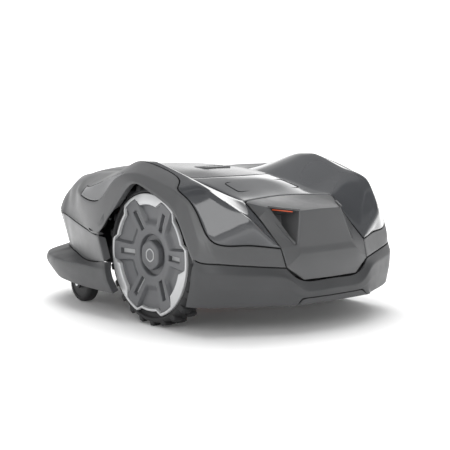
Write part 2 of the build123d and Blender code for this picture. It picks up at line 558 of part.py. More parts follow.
def make_chassis():
    PARTS["chassis_tray"] = make_tray()
    seal = block(-TRAY_X, TRAY_X, TRAY_FRONT, TRAY_REAR, TRAY_TOP, TRAY_TOP + 1.5)
    seal -= block(-TRAY_X + 3, TRAY_X - 3, TRAY_FRONT + 3, TRAY_REAR - 3, TRAY_TOP - 1, TRAY_TOP + 2)
    lid_z = TRAY_TOP + 1.5
    lid = block(-TRAY_X, TRAY_X, TRAY_FRONT, TRAY_REAR, lid_z, lid_z + 3)
    screws = []
    for x, y in SCREWS:
        seal += disc_z(5, x, y, TRAY_TOP, TRAY_TOP + 1.5)
        seal -= disc_z(SCREW_R, x, y, TRAY_TOP - 1, TRAY_TOP + 3)
        lid -= disc_z(SCREW_R, x, y, lid_z - 1, lid_z + 4)
        screws.append(disc_z(SCREW_R, x, y, TRAY_TOP - 18, lid_z + 3) + disc_z(4.5, x, y, lid_z + 3, lid_z + 6))
    PARTS["chassis_seal"] = seal
    PARTS["chassis_lid"] = lid
    PARTS["chassis_screws"] = Compound(children=screws)
    bush = disc_z(9, CASTER_X, CASTER_Y, BEAM_Z0, BEAM_Z1) - disc_z(STEM_R + CLEAR, CASTER_X, CASTER_Y, BEAM_Z0 - 1, BEAM_Z1 + 1)
    PARTS["caster_bushes"] = both(bush)
    bearing = disc_x(16, 156, 167, AXLE_Y, AXLE_Z) - disc_x(AXLE_R + CLEAR, 150, 170, AXLE_Y, AXLE_Z)
    PARTS["axle_bearings"] = both(bearing)
    motor = disc_x(28, 66, 118, AXLE_Y, AXLE_Z) + disc_x(30, 118, 146, AXLE_Y, AXLE_Z)
    motor += block(120, 146, AXLE_Y - 16, AXLE_Y + 16, 80, AXLE_Z)
    motor -= disc_x(AXLE_R + CLEAR, 134, 150, AXLE_Y, AXLE_Z)
    axle_end = disc_x(12, 146, 155, AXLE_Y, AXLE_Z) - disc_x(AXLE_R + CLEAR, 140, 156, AXLE_Y, AXLE_Z)
    PARTS["drive_motor_left"] = motor + axle_end
    PARTS["drive_motor_right"] = mirror(PARTS["drive_motor_left"], about=Plane.YZ)
    pack = block(-74, 74, 142, 214, 80, 132)
    pack = fillet(pack.edges().filter_by(Axis.Z), 6.0)
    PARTS["battery_pack"] = pack + block(-70, 70, 146, 210, TRAY_FLOOR + TRAY_WALL, 80)
    board = block(-58, 58, 44, 134, 96, 97.6) + block(-40, -12, 60, 88, 97.6, 101)
    board += block(8, 44, 70, 118, 97.6, 108)
    for x, y in ((-52, 50), (52, 50), (-52, 128), (52, 128)):
        board += disc_z(3, x, y, TRAY_FLOOR + TRAY_WALL, 96)
    PARTS["main_board"] = board
    PARTS["height_motor"] = (disc_z(16, 0, SPINDLE_Y, 141, TRAY_TOP + 1.5)
                             - disc_z(SPINDLE_R + CLEAR, 0, SPINDLE_Y, 140, 147))
    contact = block(24, 44, BEAM_FRONT - 2, BEAM_FRONT, 92, 112)
    PARTS["charge_contacts"] = both(contact)
    make_console(lid_z + 3)


DIAL_Y, POWER_Y = -30.0, 15.0
CONSOLE_TOP = 222.0


def make_console(base):
    """Control console on the lid, reached through the hatch."""
    console = block(-62, 62, -92, 42, base, CONSOLE_TOP)
    console = fillet(console.edges().filter_by(Axis.Z), 10.0)
    console -= block(-57, 57, -87, 37, base - 1, CONSOLE_TOP - 4)
    console -= block(-46, 46, -84, -56, CONSOLE_TOP - 1.5, CONSOLE_TOP + 1)
    console -= disc_z(4 + CLEAR, 0, DIAL_Y, CONSOLE_TOP - 6, CONSOLE_TOP + 1)
    console -= disc_z(7.4, 0, POWER_Y, CONSOLE_TOP - 6, CONSOLE_TOP + 1)
    PARTS["control_console"] = console
    dial = disc_z(17, 0, DIAL_Y, CONSOLE_TOP + 0.4, CONSOLE_TOP + 8)
    dial = fillet(dial.edges().group_by(Axis.Z)[-1], 2.0)
    for k in range(18):
        dial -= Pos(0, DIAL_Y, 0) * Rot(0, 0, 20 * k) * disc_z(1.1, 17.2, 0, CONSOLE_TOP + 1.5, CONSOLE_TOP + 9)
    PARTS["jog_dial"] = dial + disc_z(4, 0, DIAL_Y, CONSOLE_TOP - 8, CONSOLE_TOP + 1)
    power = disc_z(7, 0, POWER_Y, CONSOLE_TOP - 8, CONSOLE_TOP + 3)
    PARTS["power_button"] = fillet(power.edges().group_by(Axis.Z)[-1], 1.0)


def make_posts():
    """Rubber posts that let the cover shift when it is bumped."""
    posts = []
    base = TRAY_TOP + 1.5 + 3
    for x, y in POSTS:
        for side in (-1, 1):
            post = disc_z(11, side * x, y, base + 0.3, base + 6)
            post += disc_z(7, side * x, y, base + 5, RAIL_Z0 - 5)
            post += disc_z(10, side * x, y, RAIL_Z0 - 6, RAIL_Z0 - 0.3)
            posts.append(post)
    link_y0, link_y1 = POSTS[0][1], POSTS[1][1]
    for side in (-1, 1):
        posts.append(block(side * 125 - 3, side * 125 + 3, link_y0 + 8, link_y1 - 8, base + 1, base + 4))
    posts.append(block(-120, 120, link_y1 - 3, link_y1 + 3, base + 1, base + 4))
    whole = posts[0]
    for post in posts[1:]:
        whole += post
    PARTS["float_posts"] = whole


# ---------------------------------------------------------------- cutting unit
def make_cutting():
    motor = disc_z(CUT_MOTOR_R, 0, CUT_Y, CUT_MOTOR_Z0, CUT_MOTOR_Z1)
    lug = block(-9, 9, CUT_Y + 20, SPINDLE_Y + 9, 86, CUT_MOTOR_Z1)
    motor = motor + lug - disc_z(SPINDLE_R + CLEAR, 0, SPINDLE_Y, 80, 100)
    motor -= disc_z(4 + CLEAR, 0, CUT_Y, CUT_MOTOR_Z0 - 1, CUT_MOTOR_Z0 + 12)
    PARTS["cut_motor"] = motor
    PARTS["height_spindle"] = disc_z(SPINDLE_R, 0, SPINDLE_Y, TRAY_FLOOR + 3.4, 146.5)
    disc = disc_z(DISC_R, 0, CUT_Y, DISC_Z0, DISC_Z1) + disc_z(18, 0, CUT_Y, DISC_Z1, 40)
    disc += disc_z(4, 0, CUT_Y, 39, CUT_MOTOR_Z0 + 10)
    pins = []
    for k in range(BLADES):
        angle = math.radians(90 + 360 * k / BLADES)
        px, py = BLADE_PIVOT_R * math.cos(angle), CUT_Y + BLADE_PIVOT_R * math.sin(angle)
        disc -= disc_z(3, px, py, DISC_Z0 - 1, DISC_Z1 + 1)
        pins.append(disc_z(3, px, py, 20.6, DISC_Z1) + disc_z(5.5, px, py, 19.0, 20.6)
                    + disc_z(5, px, py, DISC_Z1, DISC_Z1 + 2.5))
        out = BLADE_L / 2 - 7
        blade = Pos(px, py, 22.2) * Rot(0, 0, math.degrees(angle)) * Pos(out, 0, 0) * Box(BLADE_L, BLADE_W, BLADE_T)
        PARTS[f"blade_{k + 1}"] = blade - disc_z(3 + CLEAR, px, py, 18, 26)
    for k in range(6):
        hole = Pos(0, CUT_Y, 0) * Rot(0, 0, 60 * k) * disc_z(14, 52, 0, DISC_Z0 - 1, DISC_Z1 + 1)
        disc -= hole
    skid_stud = disc_z(6, 0, CUT_Y, 14, DISC_Z0)
    PARTS["blade_disc"] = disc + skid_stud + disc_z(10, 0, CUT_Y, 11.5, 14)
    PARTS["blade_screws"] = Compound(children=pins)
    skid = disc_z(74, 0, CUT_Y, 14.4, 17.4) + disc_z(13, 0, CUT_Y, 14.4, 21)
    skid -= disc_z(6 + CLEAR, 0, CUT_Y, 10, 24)
    PARTS["skid_plate"] = skid


def main():
    make_cover()
    make_wheels()
    make_casters()
    make_chassis()
    make_posts()
    make_cutting()
    os.makedirs("parts", exist_ok=True)
    for name, shape in PARTS.items():
        raised = [Pos(0, 0, DATUM) * solid for solid in shape.solids()]
        whole = raised[0] if len(raised) == 1 else Compound(children=raised)
        export_step(whole, f"parts/{name}.step")


main()
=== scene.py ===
"""Robotic lawn mower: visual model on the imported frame."""

import json
import math

import bmesh
import bpy
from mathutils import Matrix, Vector
from mathutils.bvhtree import BVHTree


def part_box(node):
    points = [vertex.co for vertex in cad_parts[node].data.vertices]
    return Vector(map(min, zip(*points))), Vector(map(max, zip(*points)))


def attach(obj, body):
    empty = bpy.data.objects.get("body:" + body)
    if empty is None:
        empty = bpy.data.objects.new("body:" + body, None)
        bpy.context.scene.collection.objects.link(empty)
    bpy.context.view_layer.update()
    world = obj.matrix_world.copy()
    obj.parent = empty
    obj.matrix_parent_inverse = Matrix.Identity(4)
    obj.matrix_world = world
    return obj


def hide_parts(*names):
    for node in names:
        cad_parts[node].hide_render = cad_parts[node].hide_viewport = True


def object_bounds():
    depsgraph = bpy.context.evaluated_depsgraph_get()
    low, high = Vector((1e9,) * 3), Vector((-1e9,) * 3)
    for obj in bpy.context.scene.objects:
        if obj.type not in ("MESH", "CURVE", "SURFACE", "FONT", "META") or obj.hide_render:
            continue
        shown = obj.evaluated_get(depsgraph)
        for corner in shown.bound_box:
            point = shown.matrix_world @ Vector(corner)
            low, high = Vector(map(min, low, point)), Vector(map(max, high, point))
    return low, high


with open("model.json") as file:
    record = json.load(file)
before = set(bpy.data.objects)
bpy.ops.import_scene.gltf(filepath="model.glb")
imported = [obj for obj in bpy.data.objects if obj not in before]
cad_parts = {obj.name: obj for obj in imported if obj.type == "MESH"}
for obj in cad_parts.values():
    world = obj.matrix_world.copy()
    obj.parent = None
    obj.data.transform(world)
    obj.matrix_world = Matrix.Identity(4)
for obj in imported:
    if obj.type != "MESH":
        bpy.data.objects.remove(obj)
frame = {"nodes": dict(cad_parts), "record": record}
cad_low, cad_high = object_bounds()
MM = 0.001

# ---- form of the body, in mm
# Each section runs from the middle outwards over one half: middle, hatch crown, hood edge,
# valley, ridge, crest, window top, shoulder, edge of the lip band, and lower edge or arch.
SECTIONS = [
    [(0, -300, 168), (60, -299, 168), (105, -291, 168), (122, -286, 168), (145, -275, 168),
     (168, -258, 168), (185, -238, 168), (197, -221, 168), (204, -205, 167)],
    [(0, -297, 203), (58, -295, 203), (102, -286, 201), (118, -280, 200), (141, -269, 198),
     (162, -250, 197), (179, -230, 195), (193, -210, 193), (208, -195, 166)],
    [(0, -276, 231), (56, -273, 230), (100, -262, 228), (114, -255, 226.5), (136, -240, 227),
     (154, -220, 225), (172, -204, 219), (190, -194, 209), (210, -183, 164)],
    [(0, -230, 245), (55, -228, 244), (97, -219, 240.5), (110, -213, 238), (132, -203, 236.5),
     (155, -190, 236), (175, -180, 230), (200, -172, 214), (216, -160, 161)],
    [(0, -165, 252), (50, -165, 251), (95, -158, 246), (108, -156, 243), (138, -152, 241.5),
     (163, -148, 242), (185, -142, 236), (212, -138, 215), (222, -135, 157)],
    [(0, -95, 254.5), (54, -95, 253.5), (95, -95, 247), (108, -95, 244.5), (145, -92, 245.5),
     (176, -90, 247), (218, -96, 224), (230, -99, 207), (236, -78, 149)],
    [(0, -30, 254.5), (52, -30, 252.5), (95, -32, 246), (107, -32, 243), (155, -34, 249),
     (185, -38, 252), (230, -44, 232), (243, -28, 203), (248, -22, 142)],
    [(0, 25, 252), (50, 22, 250.5), (95, 10, 243.5), (105, 8, 241), (174, 6, 264),
     (196, 8, 266), (233, 0, 245), (243, 10, 230), (248, 28, 192)],
    [(0, 88, 242), (50, 80, 241.5), (95, 50, 239.5), (105, 48, 238.5), (184, 52, 275),
     (200, 50, 275), (233, 42, 257), (240, 44, 252), (245, 70, 235)],
    [(0, 118, 235), (50, 116, 234.5), (96, 110, 230.5), (105, 110, 229), (187, 92, 271),
     (198, 92, 269), (216, 92, 263), (232, 90, 256), (243, 104, 236)],
    [(0, 158, 223.5), (50, 160, 222.5), (96, 160, 219), (105, 162, 217.5), (181, 150, 254),
     (198, 152, 251), (214, 148, 248), (228, 142, 243), (240, 148, 218)],
    [(0, 195, 214), (50, 200, 213), (96, 206, 211), (103, 212, 208), (186, 180, 247.5),
     (218, 172, 236.5), (223, 176, 234), (226, 179, 231), (237.5, 180, 200)],
    [None, None, (95.5, 236, 186.5), (99, 240, 185), (187, 212, 237),
     (216, 199, 220), (220, 198, 217), (223, 196, 214), (234, 197, 175)],
    [None, None, (95, 266, 162), (98, 268, 162), (176, 240, 219),
     (211, 224, 187), (217, 219, 188), (222, 213, 189), (232, 213, 143)],
    [None, None, (94, 296, 138), (98, 296, 138.5), (150, 281, 184),
     (203, 248, 151), (214, 240, 150.5), (222, 233, 150), (232, 228, 119)],
]
MID, CROWN, HOOD, VALLEY, RIDGE, CREST, WINDOW, SHOULDER, LIP, EDGE = range(10)
LAST = len(SECTIONS) - 1
HATCH_FRONT, HATCH_REAR = 4, 8
DECK_FRONT, MODULE_FRONT = 6, 11
WINDOW_FRONT, WINDOW_REAR = 5, 8

WAIST = [(0, -282, 104), (60, -281, 104), (100, -274, 104), (116, -268, 104), (138, -258, 103),
         (157, -243, 102), (172, -228, 101), (182, -214, 100), (187, -206, 100), (190, -200, 100),
         (193, -192, 99), (196, -183, 98), (204, -165, 97), (212, -140, 95), (228, -85, 89),
         (247, -2, 97)]
SHELF = [(0, -326, 86), (66, -324, 86), (112, -317, 86), (130, -311, 86), (156, -299, 86),
         (177, -284, 86), (194, -268, 86), (206, -252, 86), (212, -243, 86), (216, -236, 86),
         (222, -226, 86), (227, -212, 86), (235, -188, 86), (243, -150, 85), (248, -85, 85),
         (249, 3, 84)]
BULGE = [(0, -328, 72), (67, -326, 72), (114, -319, 72), (132, -313, 72), (157, -301, 72),
         (178, -286, 72), (195, -270, 72), (208, -254, 72), (214, -245, 72), (218, -238, 72),
         (224, -227, 72), (229, -213, 72), (237, -189, 72), (244, -150, 71), (249, -84, 70),
         (249.5, 10, 66)]
FOOT = [(0, -308, 46), (62, -306, 46), (106, -300, 46), (122, -294, 46), (146, -282, 46),
        (166, -267, 46), (182, -252, 46), (195, -237, 46), (201, -229, 46), (205, -223, 46),
        (211, -214, 46), (217, -203, 46), (227, -176, 45), (234, -140, 44), (242, -78, 43),
        (247, 24, 43)]
QUARTER_TOP = [None, (203, 248, 151), (150, 272, 146), (94, 296, 138)]
SPLIT = [(232, 228, 119), (229, 231, 119.2), (222, 240, 119.5), (200, 258, 118),
         (150, 281, 112), (95, 307, 107), (61, 314, 84), (0, 318, 84)]
SKIRT_EDGE = [(231, 224.5, 104), (229.5, 229, 104), (225, 241, 104), (204, 262, 102),
              (154, 288, 97), (99, 315, 91), (64, 323, 68), (0, 328, 68)]
SKIRT_FACE = [(232, 221, 78), (230.5, 226, 78), (226, 238, 78), (205, 260, 77),
              (156, 288, 76), (101, 315, 74), (70, 322, 60), (0, 327.5, 60)]
HEM = [(234, 213, 45), (231.5, 219, 45), (225, 231, 45), (202, 255, 45), (152, 285, 45),
       (100, 312, 45), (84, 320, 45), (0, 326, 45)]
PLATE_TOP = [(100, 313, 56), (71, 321, 56), (0, 327, 56)]
TOP_REAR = [(0, 289, 198), (49, 288, 197)]
FACE_LOW = [(0, 305, 137), (62, 303, 137)]
RECESS = [(79, 246, 201), (49, 288, 197), (66, 300, 141)]
RECESS_BACK = [(72, 222, 184), (47, 240, 186), (60, 258, 150)]
MODULE_SIDE = [(103, 212, 208), (99, 240, 185), (98, 268, 162), (98, 296, 138.5)]
MODULE_LOW = [(95, 307, 107), (61, 314, 84), (0, 318, 84)]
MODULE_FRONT_EDGE = [(0, 195, 214), (28, 196, 213.8), (50, 200, 213), (80, 203.5, 212),
                     (96, 206, 211)]
QUARTER_RIDGE = [(150, 281, 184), (150, 272, 146)]
DATUM = 4.5  # the tables are drawn from a plane this far above the ground
for table in [WAIST, SHELF, BULGE, FOOT, QUARTER_TOP, SPLIT, SKIRT_EDGE, SKIRT_FACE, HEM, PLATE_TOP,
              TOP_REAR, FACE_LOW, RECESS, RECESS_BACK, MODULE_SIDE, MODULE_LOW, MODULE_FRONT_EDGE,
              QUARTER_RIDGE] + SECTIONS:
    table[:] = [p and (p[0], p[1], p[2] + DATUM) for p in table]
LIP_WIDTH, LIP_DROP = 7.5, 2.2
GAP = 2.1
PANELS = ("top", "deck", "hatch", "window", "nose", "bumper", "skirt", "service")


def between(a, b, t):
    return tuple(p + (q - p) * t for p, q in zip(a, b))


def with_lip():
    """Adds the row that edges the lip band, just above the arch."""
    for i, section in enumerate(SECTIONS):
        edge, shoulder = section[-1], section[-2]
        share = LIP_WIDTH / math.dist(edge, shoulder) if i > DECK_FRONT - 1 else 0.25
        lip = between(edge, shoulder, share)
        if i > DECK_FRONT - 1:
            edge = (edge[0] - LIP_DROP, edge[1], edge[2])
        section[-1:] = [lip, edge]


def mirrored(p):
    return (-p[0], p[1], p[2])


def key(p):
    return tuple(round(c, 2) for c in p)


def welded(cells):
    """Points that the cells and their mirror images share, with their numbers, and the faces."""
    index, points, faces = {}, [], []
    for cell in cells:
        for quad in (cell, [mirrored(p) for p in reversed(cell)]):
            face = []
            for p in quad:
                n = index.setdefault(key(p), len(points))
                if n == len(points):
                    points.append(p)
                if n not in face:
                    face.append(n)
            faces.append(face)
    return index, points, faces


def strip(upper, lower):
    return [[upper[i], lower[i], lower[i + 1], upper[i + 1]] for i in range(len(upper) - 1)]


def grid(first, last, inner, outer):
    return [[SECTIONS[i][r], SECTIONS[i][r + 1], SECTIONS[i + 1][r + 1], SECTIONS[i + 1][r]]
            for i in range(first, last) for r in range(inner, outer)]


def body_cells():
    """Quads of one half of the cover, sorted into its panels."""
    with_lip()
    front, second, last = SECTIONS[HATCH_FRONT], SECTIONS[HATCH_FRONT + 1], SECTIONS[LAST]
    SPLIT[0], SPLIT[1] = last[EDGE], last[LIP]
    QUARTER_TOP[0] = last[SHOULDER]
    QUARTER_TOP[3] = last[VALLEY]
    nose = SECTIONS[0] + [s[EDGE] for s in SECTIONS[1:DECK_FRONT + 1]]
    return {
        "hatch": (grid(HATCH_FRONT, HATCH_FRONT + 1, MID, CROWN)
                  + [[front[CROWN], second[HOOD], second[CROWN]]]
                  + grid(HATCH_FRONT + 1, HATCH_REAR, MID, HOOD)),
        "window": grid(WINDOW_FRONT, WINDOW_REAR, WINDOW, SHOULDER),
        "top": (grid(0, HATCH_FRONT, MID, EDGE)
                + [[front[CROWN], front[HOOD], second[HOOD]]]
                + grid(HATCH_FRONT, WINDOW_FRONT, HOOD, EDGE)
                + grid(WINDOW_FRONT, DECK_FRONT, HOOD, WINDOW)
                + grid(DECK_FRONT, WINDOW_REAR, CREST, WINDOW)
                + grid(WINDOW_FRONT, WINDOW_REAR, SHOULDER, EDGE)
                + grid(WINDOW_REAR, LAST, CREST, EDGE)
                + [[last[SHOULDER], SPLIT[1], SPLIT[2]],
                   [last[WINDOW], last[SHOULDER], SPLIT[2], SPLIT[3]],
                   [last[CREST], last[WINDOW], SPLIT[3]]]
                + strip(QUARTER_TOP[1:], SPLIT[3:6])),
        "deck": (grid(DECK_FRONT, HATCH_REAR, HOOD, CREST)
                 + grid(HATCH_REAR, MODULE_FRONT, MID, CREST)
                 + grid(MODULE_FRONT, LAST, VALLEY, CREST)
                 + [[last[RIDGE], last[CREST], QUARTER_TOP[2]],
                    [last[RIDGE], QUARTER_TOP[2], last[VALLEY]]]),
        "nose": strip(nose, WAIST),
        "bumper": strip(WAIST, SHELF) + strip(SHELF, BULGE) + strip(BULGE, FOOT),
        "skirt": (strip(SPLIT, SKIRT_EDGE) + strip(SKIRT_EDGE, SKIRT_FACE)
                  + strip(SKIRT_FACE[:6], HEM[:5] + [PLATE_TOP[0]])
                  + [[HEM[4], HEM[5], PLATE_TOP[0]]]
                  + strip(SKIRT_FACE[5:], PLATE_TOP)
                  + [[PLATE_TOP[0], HEM[5], HEM[6], PLATE_TOP[1]]]),
        "service": strip(PLATE_TOP[1:], HEM[6:]),
    }


def crease_lines():
    """Edges of the form that stay crisp: a line of points and how sharp it is."""
    row = lambda r, a, b: [SECTIONS[i][r] for i in range(a, b + 1)]
    return [
        (row(RIDGE, 7, LAST), 0.75), (row(CREST, 7, LAST), 0.55),
        (row(SHOULDER, 4, LAST), 0.5), (row(WINDOW, 4, 9), 0.55),
        (row(HOOD, 4, MODULE_FRONT), 0.45), (row(VALLEY, 7, MODULE_FRONT), 0.3),
        (row(LIP, DECK_FRONT, LAST), 0.9), (row(EDGE, 0, DECK_FRONT), 0.6),
        (SECTIONS[0], 0.5), (QUARTER_TOP, 0.6), (SPLIT, 0.7), (SKIRT_EDGE, 0.85),
        (SKIRT_FACE, 0.85), (WAIST, 0.9), (SHELF, 0.6), (BULGE, 0.2),
        (QUARTER_RIDGE, 0.6),
    ]


# ---- materials
def set_inputs(node, **values):
    for name, value in values.items():
        node.inputs[name.replace("_", " ")].default_value = value


def node_material(name, base, rough, build=None, metallic=0.0, coat=0.0):
    material = bpy.data.materials.new(name)
    material.use_nodes = True
    tree = material.node_tree
    shader = tree.nodes["Principled BSDF"]
    set_inputs(shader, Base_Color=(*base, 1.0), Roughness=rough, Metallic=metallic,
               Coat_Weight=coat, Coat_Roughness=0.06, IOR=1.5)
    if build:
        build(tree, shader, base, rough)
    return material


def noise(tree, scale, detail=3.0, rough=0.55, stretch=None):
    coords = tree.nodes.new("ShaderNodeTexCoord")
    mapping = tree.nodes.new("ShaderNodeMapping")
    texture = tree.nodes.new("ShaderNodeTexNoise")
    set_inputs(texture, Scale=scale, Detail=detail, Roughness=rough)
    if stretch:
        set_inputs(mapping, Scale=stretch)
    tree.links.new(coords.outputs["Object"], mapping.inputs["Vector"])
    tree.links.new(mapping.outputs["Vector"], texture.inputs["Vector"])
    return texture.outputs["Fac"]


def ramp(tree, fac, stops):
    node = tree.nodes.new("ShaderNodeValToRGB")
    elements = node.color_ramp.elements
    while len(elements) < len(stops):
        elements.new(0.5)
    for element, (place, value) in zip(elements, stops):
        element.position = place
        element.color = (*value, 1.0) if isinstance(value, tuple) else (value, value, value, 1.0)
    tree.links.new(fac, node.inputs["Fac"])
    return node.outputs["Color"]


def feed(tree, shader, socket, fac, stops):
    tree.links.new(ramp(tree, fac, stops), shader.inputs[socket])


def tint(base, gain):
    return tuple(min(1.0, c * gain) for c in base)


def bump(tree, shader, height, strength, distance_mm):
    node = tree.nodes.new("ShaderNodeBump")
    set_inputs(node, Strength=strength, Distance=distance_mm * MM)
    tree.links.new(height, node.inputs["Height"])
    tree.links.new(node.outputs["Normal"], shader.inputs["Normal"])


def grained(grain=2600.0, depth=0.05, spread=0.06, mottled=0.05):
    """Moulded plastic: fine spark-eroded grain, slight cloudiness and handling dust."""
    def build(tree, shader, base, rough):
        cloud = noise(tree, 9.0, 4.0)
        tones = [(0.3, tint(base, 1 - mottled)), (0.7, tint(base, 1 + mottled))]
        feed(tree, shader, "Base Color", cloud, tones)
        patch = noise(tree, 26.0, 5.0, 0.65)
        feed(tree, shader, "Roughness", patch, [(0.3, rough - spread), (0.75, rough + spread)])
        bump(tree, shader, noise(tree, grain, 2.0), 0.5, depth)
    return build


def polished(swirl=0.006):
    """Gloss plastic with faint waviness from moulding and fine haze."""
    def build(tree, shader, base, rough):
        patch = noise(tree, 14.0, 3.0, 0.6)
        feed(tree, shader, "Roughness", patch, [(0.35, rough), (0.8, rough + 0.04)])
        cloud = noise(tree, 7.0, 2.0)
        feed(tree, shader, "Base Color", cloud, [(0.3, tint(base, 0.94)), (0.7, tint(base, 1.06))])
        bump(tree, shader, noise(tree, 60.0, 1.0), 0.25, swirl)
    return build


def rubbery():
    """Dusty rubber."""
    def build(tree, shader, base, rough):
        dust = noise(tree, 35.0, 6.0, 0.7)
        feed(tree, shader, "Base Color", dust, [(0.35, tint(base, 0.85)), (0.75, tint(base, 1.5))])
        feed(tree, shader, "Roughness", dust, [(0.3, rough - 0.1), (0.8, rough + 0.08)])
        bump(tree, shader, noise(tree, 900.0, 4.0), 0.6, 0.12)
    return build


def brushed(axis_stretch=(4.0, 4.0, 160.0)):
    """Metal with fine streaks along one axis."""
    def build(tree, shader, base, rough):
        streak = noise(tree, 30.0, 3.0, 0.6, axis_stretch)
        feed(tree, shader, "Base Color", streak, [(0.3, tint(base, 0.86)), (0.7, tint(base, 1.08))])
        feed(tree, shader, "Roughness", streak, [(0.3, rough - 0.06), (0.7, rough + 0.1)])
        bump(tree, shader, streak, 0.3, 0.03)
    return build


COVER = node_material("cover_grey", (0.072, 0.073, 0.075), 0.38, grained())
HOOD_GREY = node_material("hood_grey", (0.078, 0.079, 0.081), 0.22, grained(2600.0, 0.02, 0.02))
# Dark grey of the bumper plastic, darkened further as painted shade on the low sides; on the rear skirt,
# whose plastic is cover grey, it is painted shade only.
DARK_GREY_WITH_PAINTED_SHADE = node_material("bumper_grey", (0.040, 0.041, 0.043), 0.46, grained())
DECK = node_material("deck_gloss", (0.050, 0.052, 0.056), 0.09, polished(), coat=0.5)
WINDOW_GLOSS = node_material("window_gloss", (0.13, 0.132, 0.136), 0.22, polished())
BLACK = node_material("frame_black", (0.012, 0.012, 0.013), 0.55, grained(1800.0, 0.06))
ORANGE = node_material("accent_orange", (0.55, 0.075, 0.018), 0.4, grained(2600.0, 0.03))
BUTTON = node_material("button_grey", (0.070, 0.071, 0.073), 0.27, grained(2600.0, 0.03))
PLATE = node_material("plate_grey", (0.16, 0.165, 0.17), 0.38, grained(3000.0, 0.02))
TYRE = node_material("tyre_black", (0.016, 0.016, 0.017), 0.72, rubbery())
WHEEL = node_material("wheel_grey", (0.085, 0.087, 0.092), 0.42, grained(2600.0, 0.04))
SILVER = node_material("ring_silver", (0.46, 0.465, 0.47), 0.34, grained(3200.0, 0.015), metallic=0.25)
PALE = node_material("rim_pale", (0.36, 0.365, 0.37), 0.5, grained(2200.0, 0.03))
STEEL = node_material("steel", (0.56, 0.57, 0.58), 0.3, brushed(), metallic=1.0)
ALLOY = node_material("motor_alloy", (0.42, 0.43, 0.44), 0.42, brushed(), metallic=1.0)
BRASS = node_material("contact_brass", (0.7, 0.5, 0.22), 0.25, brushed(), metallic=1.0)
BLADE = node_material("blade_steel", (0.6, 0.61, 0.62), 0.22, brushed((160.0, 4.0, 4.0)), metallic=1.0)
BOARD = node_material("board_green", (0.01, 0.09, 0.035), 0.4, grained(900.0, 0.05))
BATTERY = node_material("battery_blue", (0.02, 0.035, 0.08), 0.45, grained())
NYLON = node_material("bush_nylon", (0.5, 0.48, 0.44), 0.45, grained())
POST = node_material("post_rubber", (0.02, 0.02, 0.02), 0.8, rubbery())
DISC = node_material("disc_orange", (0.42, 0.06, 0.015), 0.42, grained())
# Black of the raised label outline, and painted shade: the dark sheet under the panels that blackens the
# gaps.
TRIM_AND_GAP_SHADE_BLACK = node_material("trim_and_gap_shade_black", (0.006, 0.006, 0.0065), 0.8, grained(1800.0, 0.08))

SLOTS = {
    "cover_grey": COVER, "deck_gloss": DECK, "bumper_grey": DARK_GREY_WITH_PAINTED_SHADE, "window_gloss": WINDOW_GLOSS,
    "button_grey": BUTTON, "accent_orange": ORANGE, "plate_grey": PLATE, "frame_black": BLACK,
    "tyre_black": TYRE, "rim_black": BLACK, "wheel_grey": WHEEL, "ring_silver": SILVER,
    "steel": STEEL, "chassis_black": BLACK, "seal_rubber": POST, "bush_nylon": NYLON,
    "motor_alloy": ALLOY, "battery_blue": BATTERY, "board_green": BOARD,
    "contact_brass": BRASS, "post_rubber": POST, "disc_orange": DISC, "blade_steel": BLADE,
}


def dress_nodes():
    """Gives every carried-over CAD node the finish of its slot."""
    for part in frame["record"]["subparts"]:
        obj = frame["nodes"][part["node"]]
        obj.data.materials.clear()
        obj.data.materials.append(SLOTS[part["material_slot"]])
        obj.data.set_sharp_from_angle(angle=math.radians(32))


# ---- mesh helpers
def placed(name, data):
    """A new object in the scene."""
    obj = bpy.data.objects.new(name, data)
    bpy.context.collection.objects.link(obj)
    return obj


def new_object(name, mesh, material, body, sharp, replaces):
    """A piece of the model: its finish, the body it moves with and the CAD nodes it stands for."""
    obj = placed(name, mesh)
    mesh.materials.clear()
    mesh.materials.append(material)
    mesh.shade_smooth()
    mesh.set_sharp_from_angle(angle=math.radians(sharp))
    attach(obj, body)
    if replaces:
        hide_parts(*replaces)


def mesh_of(name, points, faces, scale=MM):
    mesh = bpy.data.meshes.new(name)
    mesh.from_pydata([tuple(c * scale for c in p) for p in points], [], faces)
    mesh.update()
    return mesh


def as_mesh(bm, name):
    """The bmesh as a mesh, and the bmesh freed."""
    mesh = bpy.data.meshes.new(name)
    bm.to_mesh(mesh)
    bm.free()
    return mesh


def drop_loose(bm):
    bmesh.ops.delete(bm, geom=[v for v in bm.verts if not v.link_faces], context="VERTS")


def applied(obj):
    """The object's mesh with its modifiers, and the object removed."""
    depsgraph = bpy.context.evaluated_depsgraph_get()
    mesh = bpy.data.meshes.new_from_object(obj.evaluated_get(depsgraph), depsgraph=depsgraph)
    bpy.data.objects.remove(obj)
    return mesh


def bevelled(mesh, width, segments=2, angle=30.0):
    """Rounds the sharp edges of a closed mesh."""
    obj = placed("tmp", mesh)
    modifier = obj.modifiers.new("bevel", "BEVEL")
    modifier.width = width * MM
    modifier.segments = segments
    modifier.limit_method = "ANGLE" if angle else "WEIGHT"
    modifier.angle_limit = math.radians(angle or 30.0)
    modifier.use_clamp_overlap = True
    return applied(obj)


# ---- body shell
def linked(pairs):
    """The partners of every vertex in the given pairs."""
    partners = {}
    for a, b in pairs:
        partners.setdefault(a, []).append(b)
        partners.setdefault(b, []).append(a)
    return partners


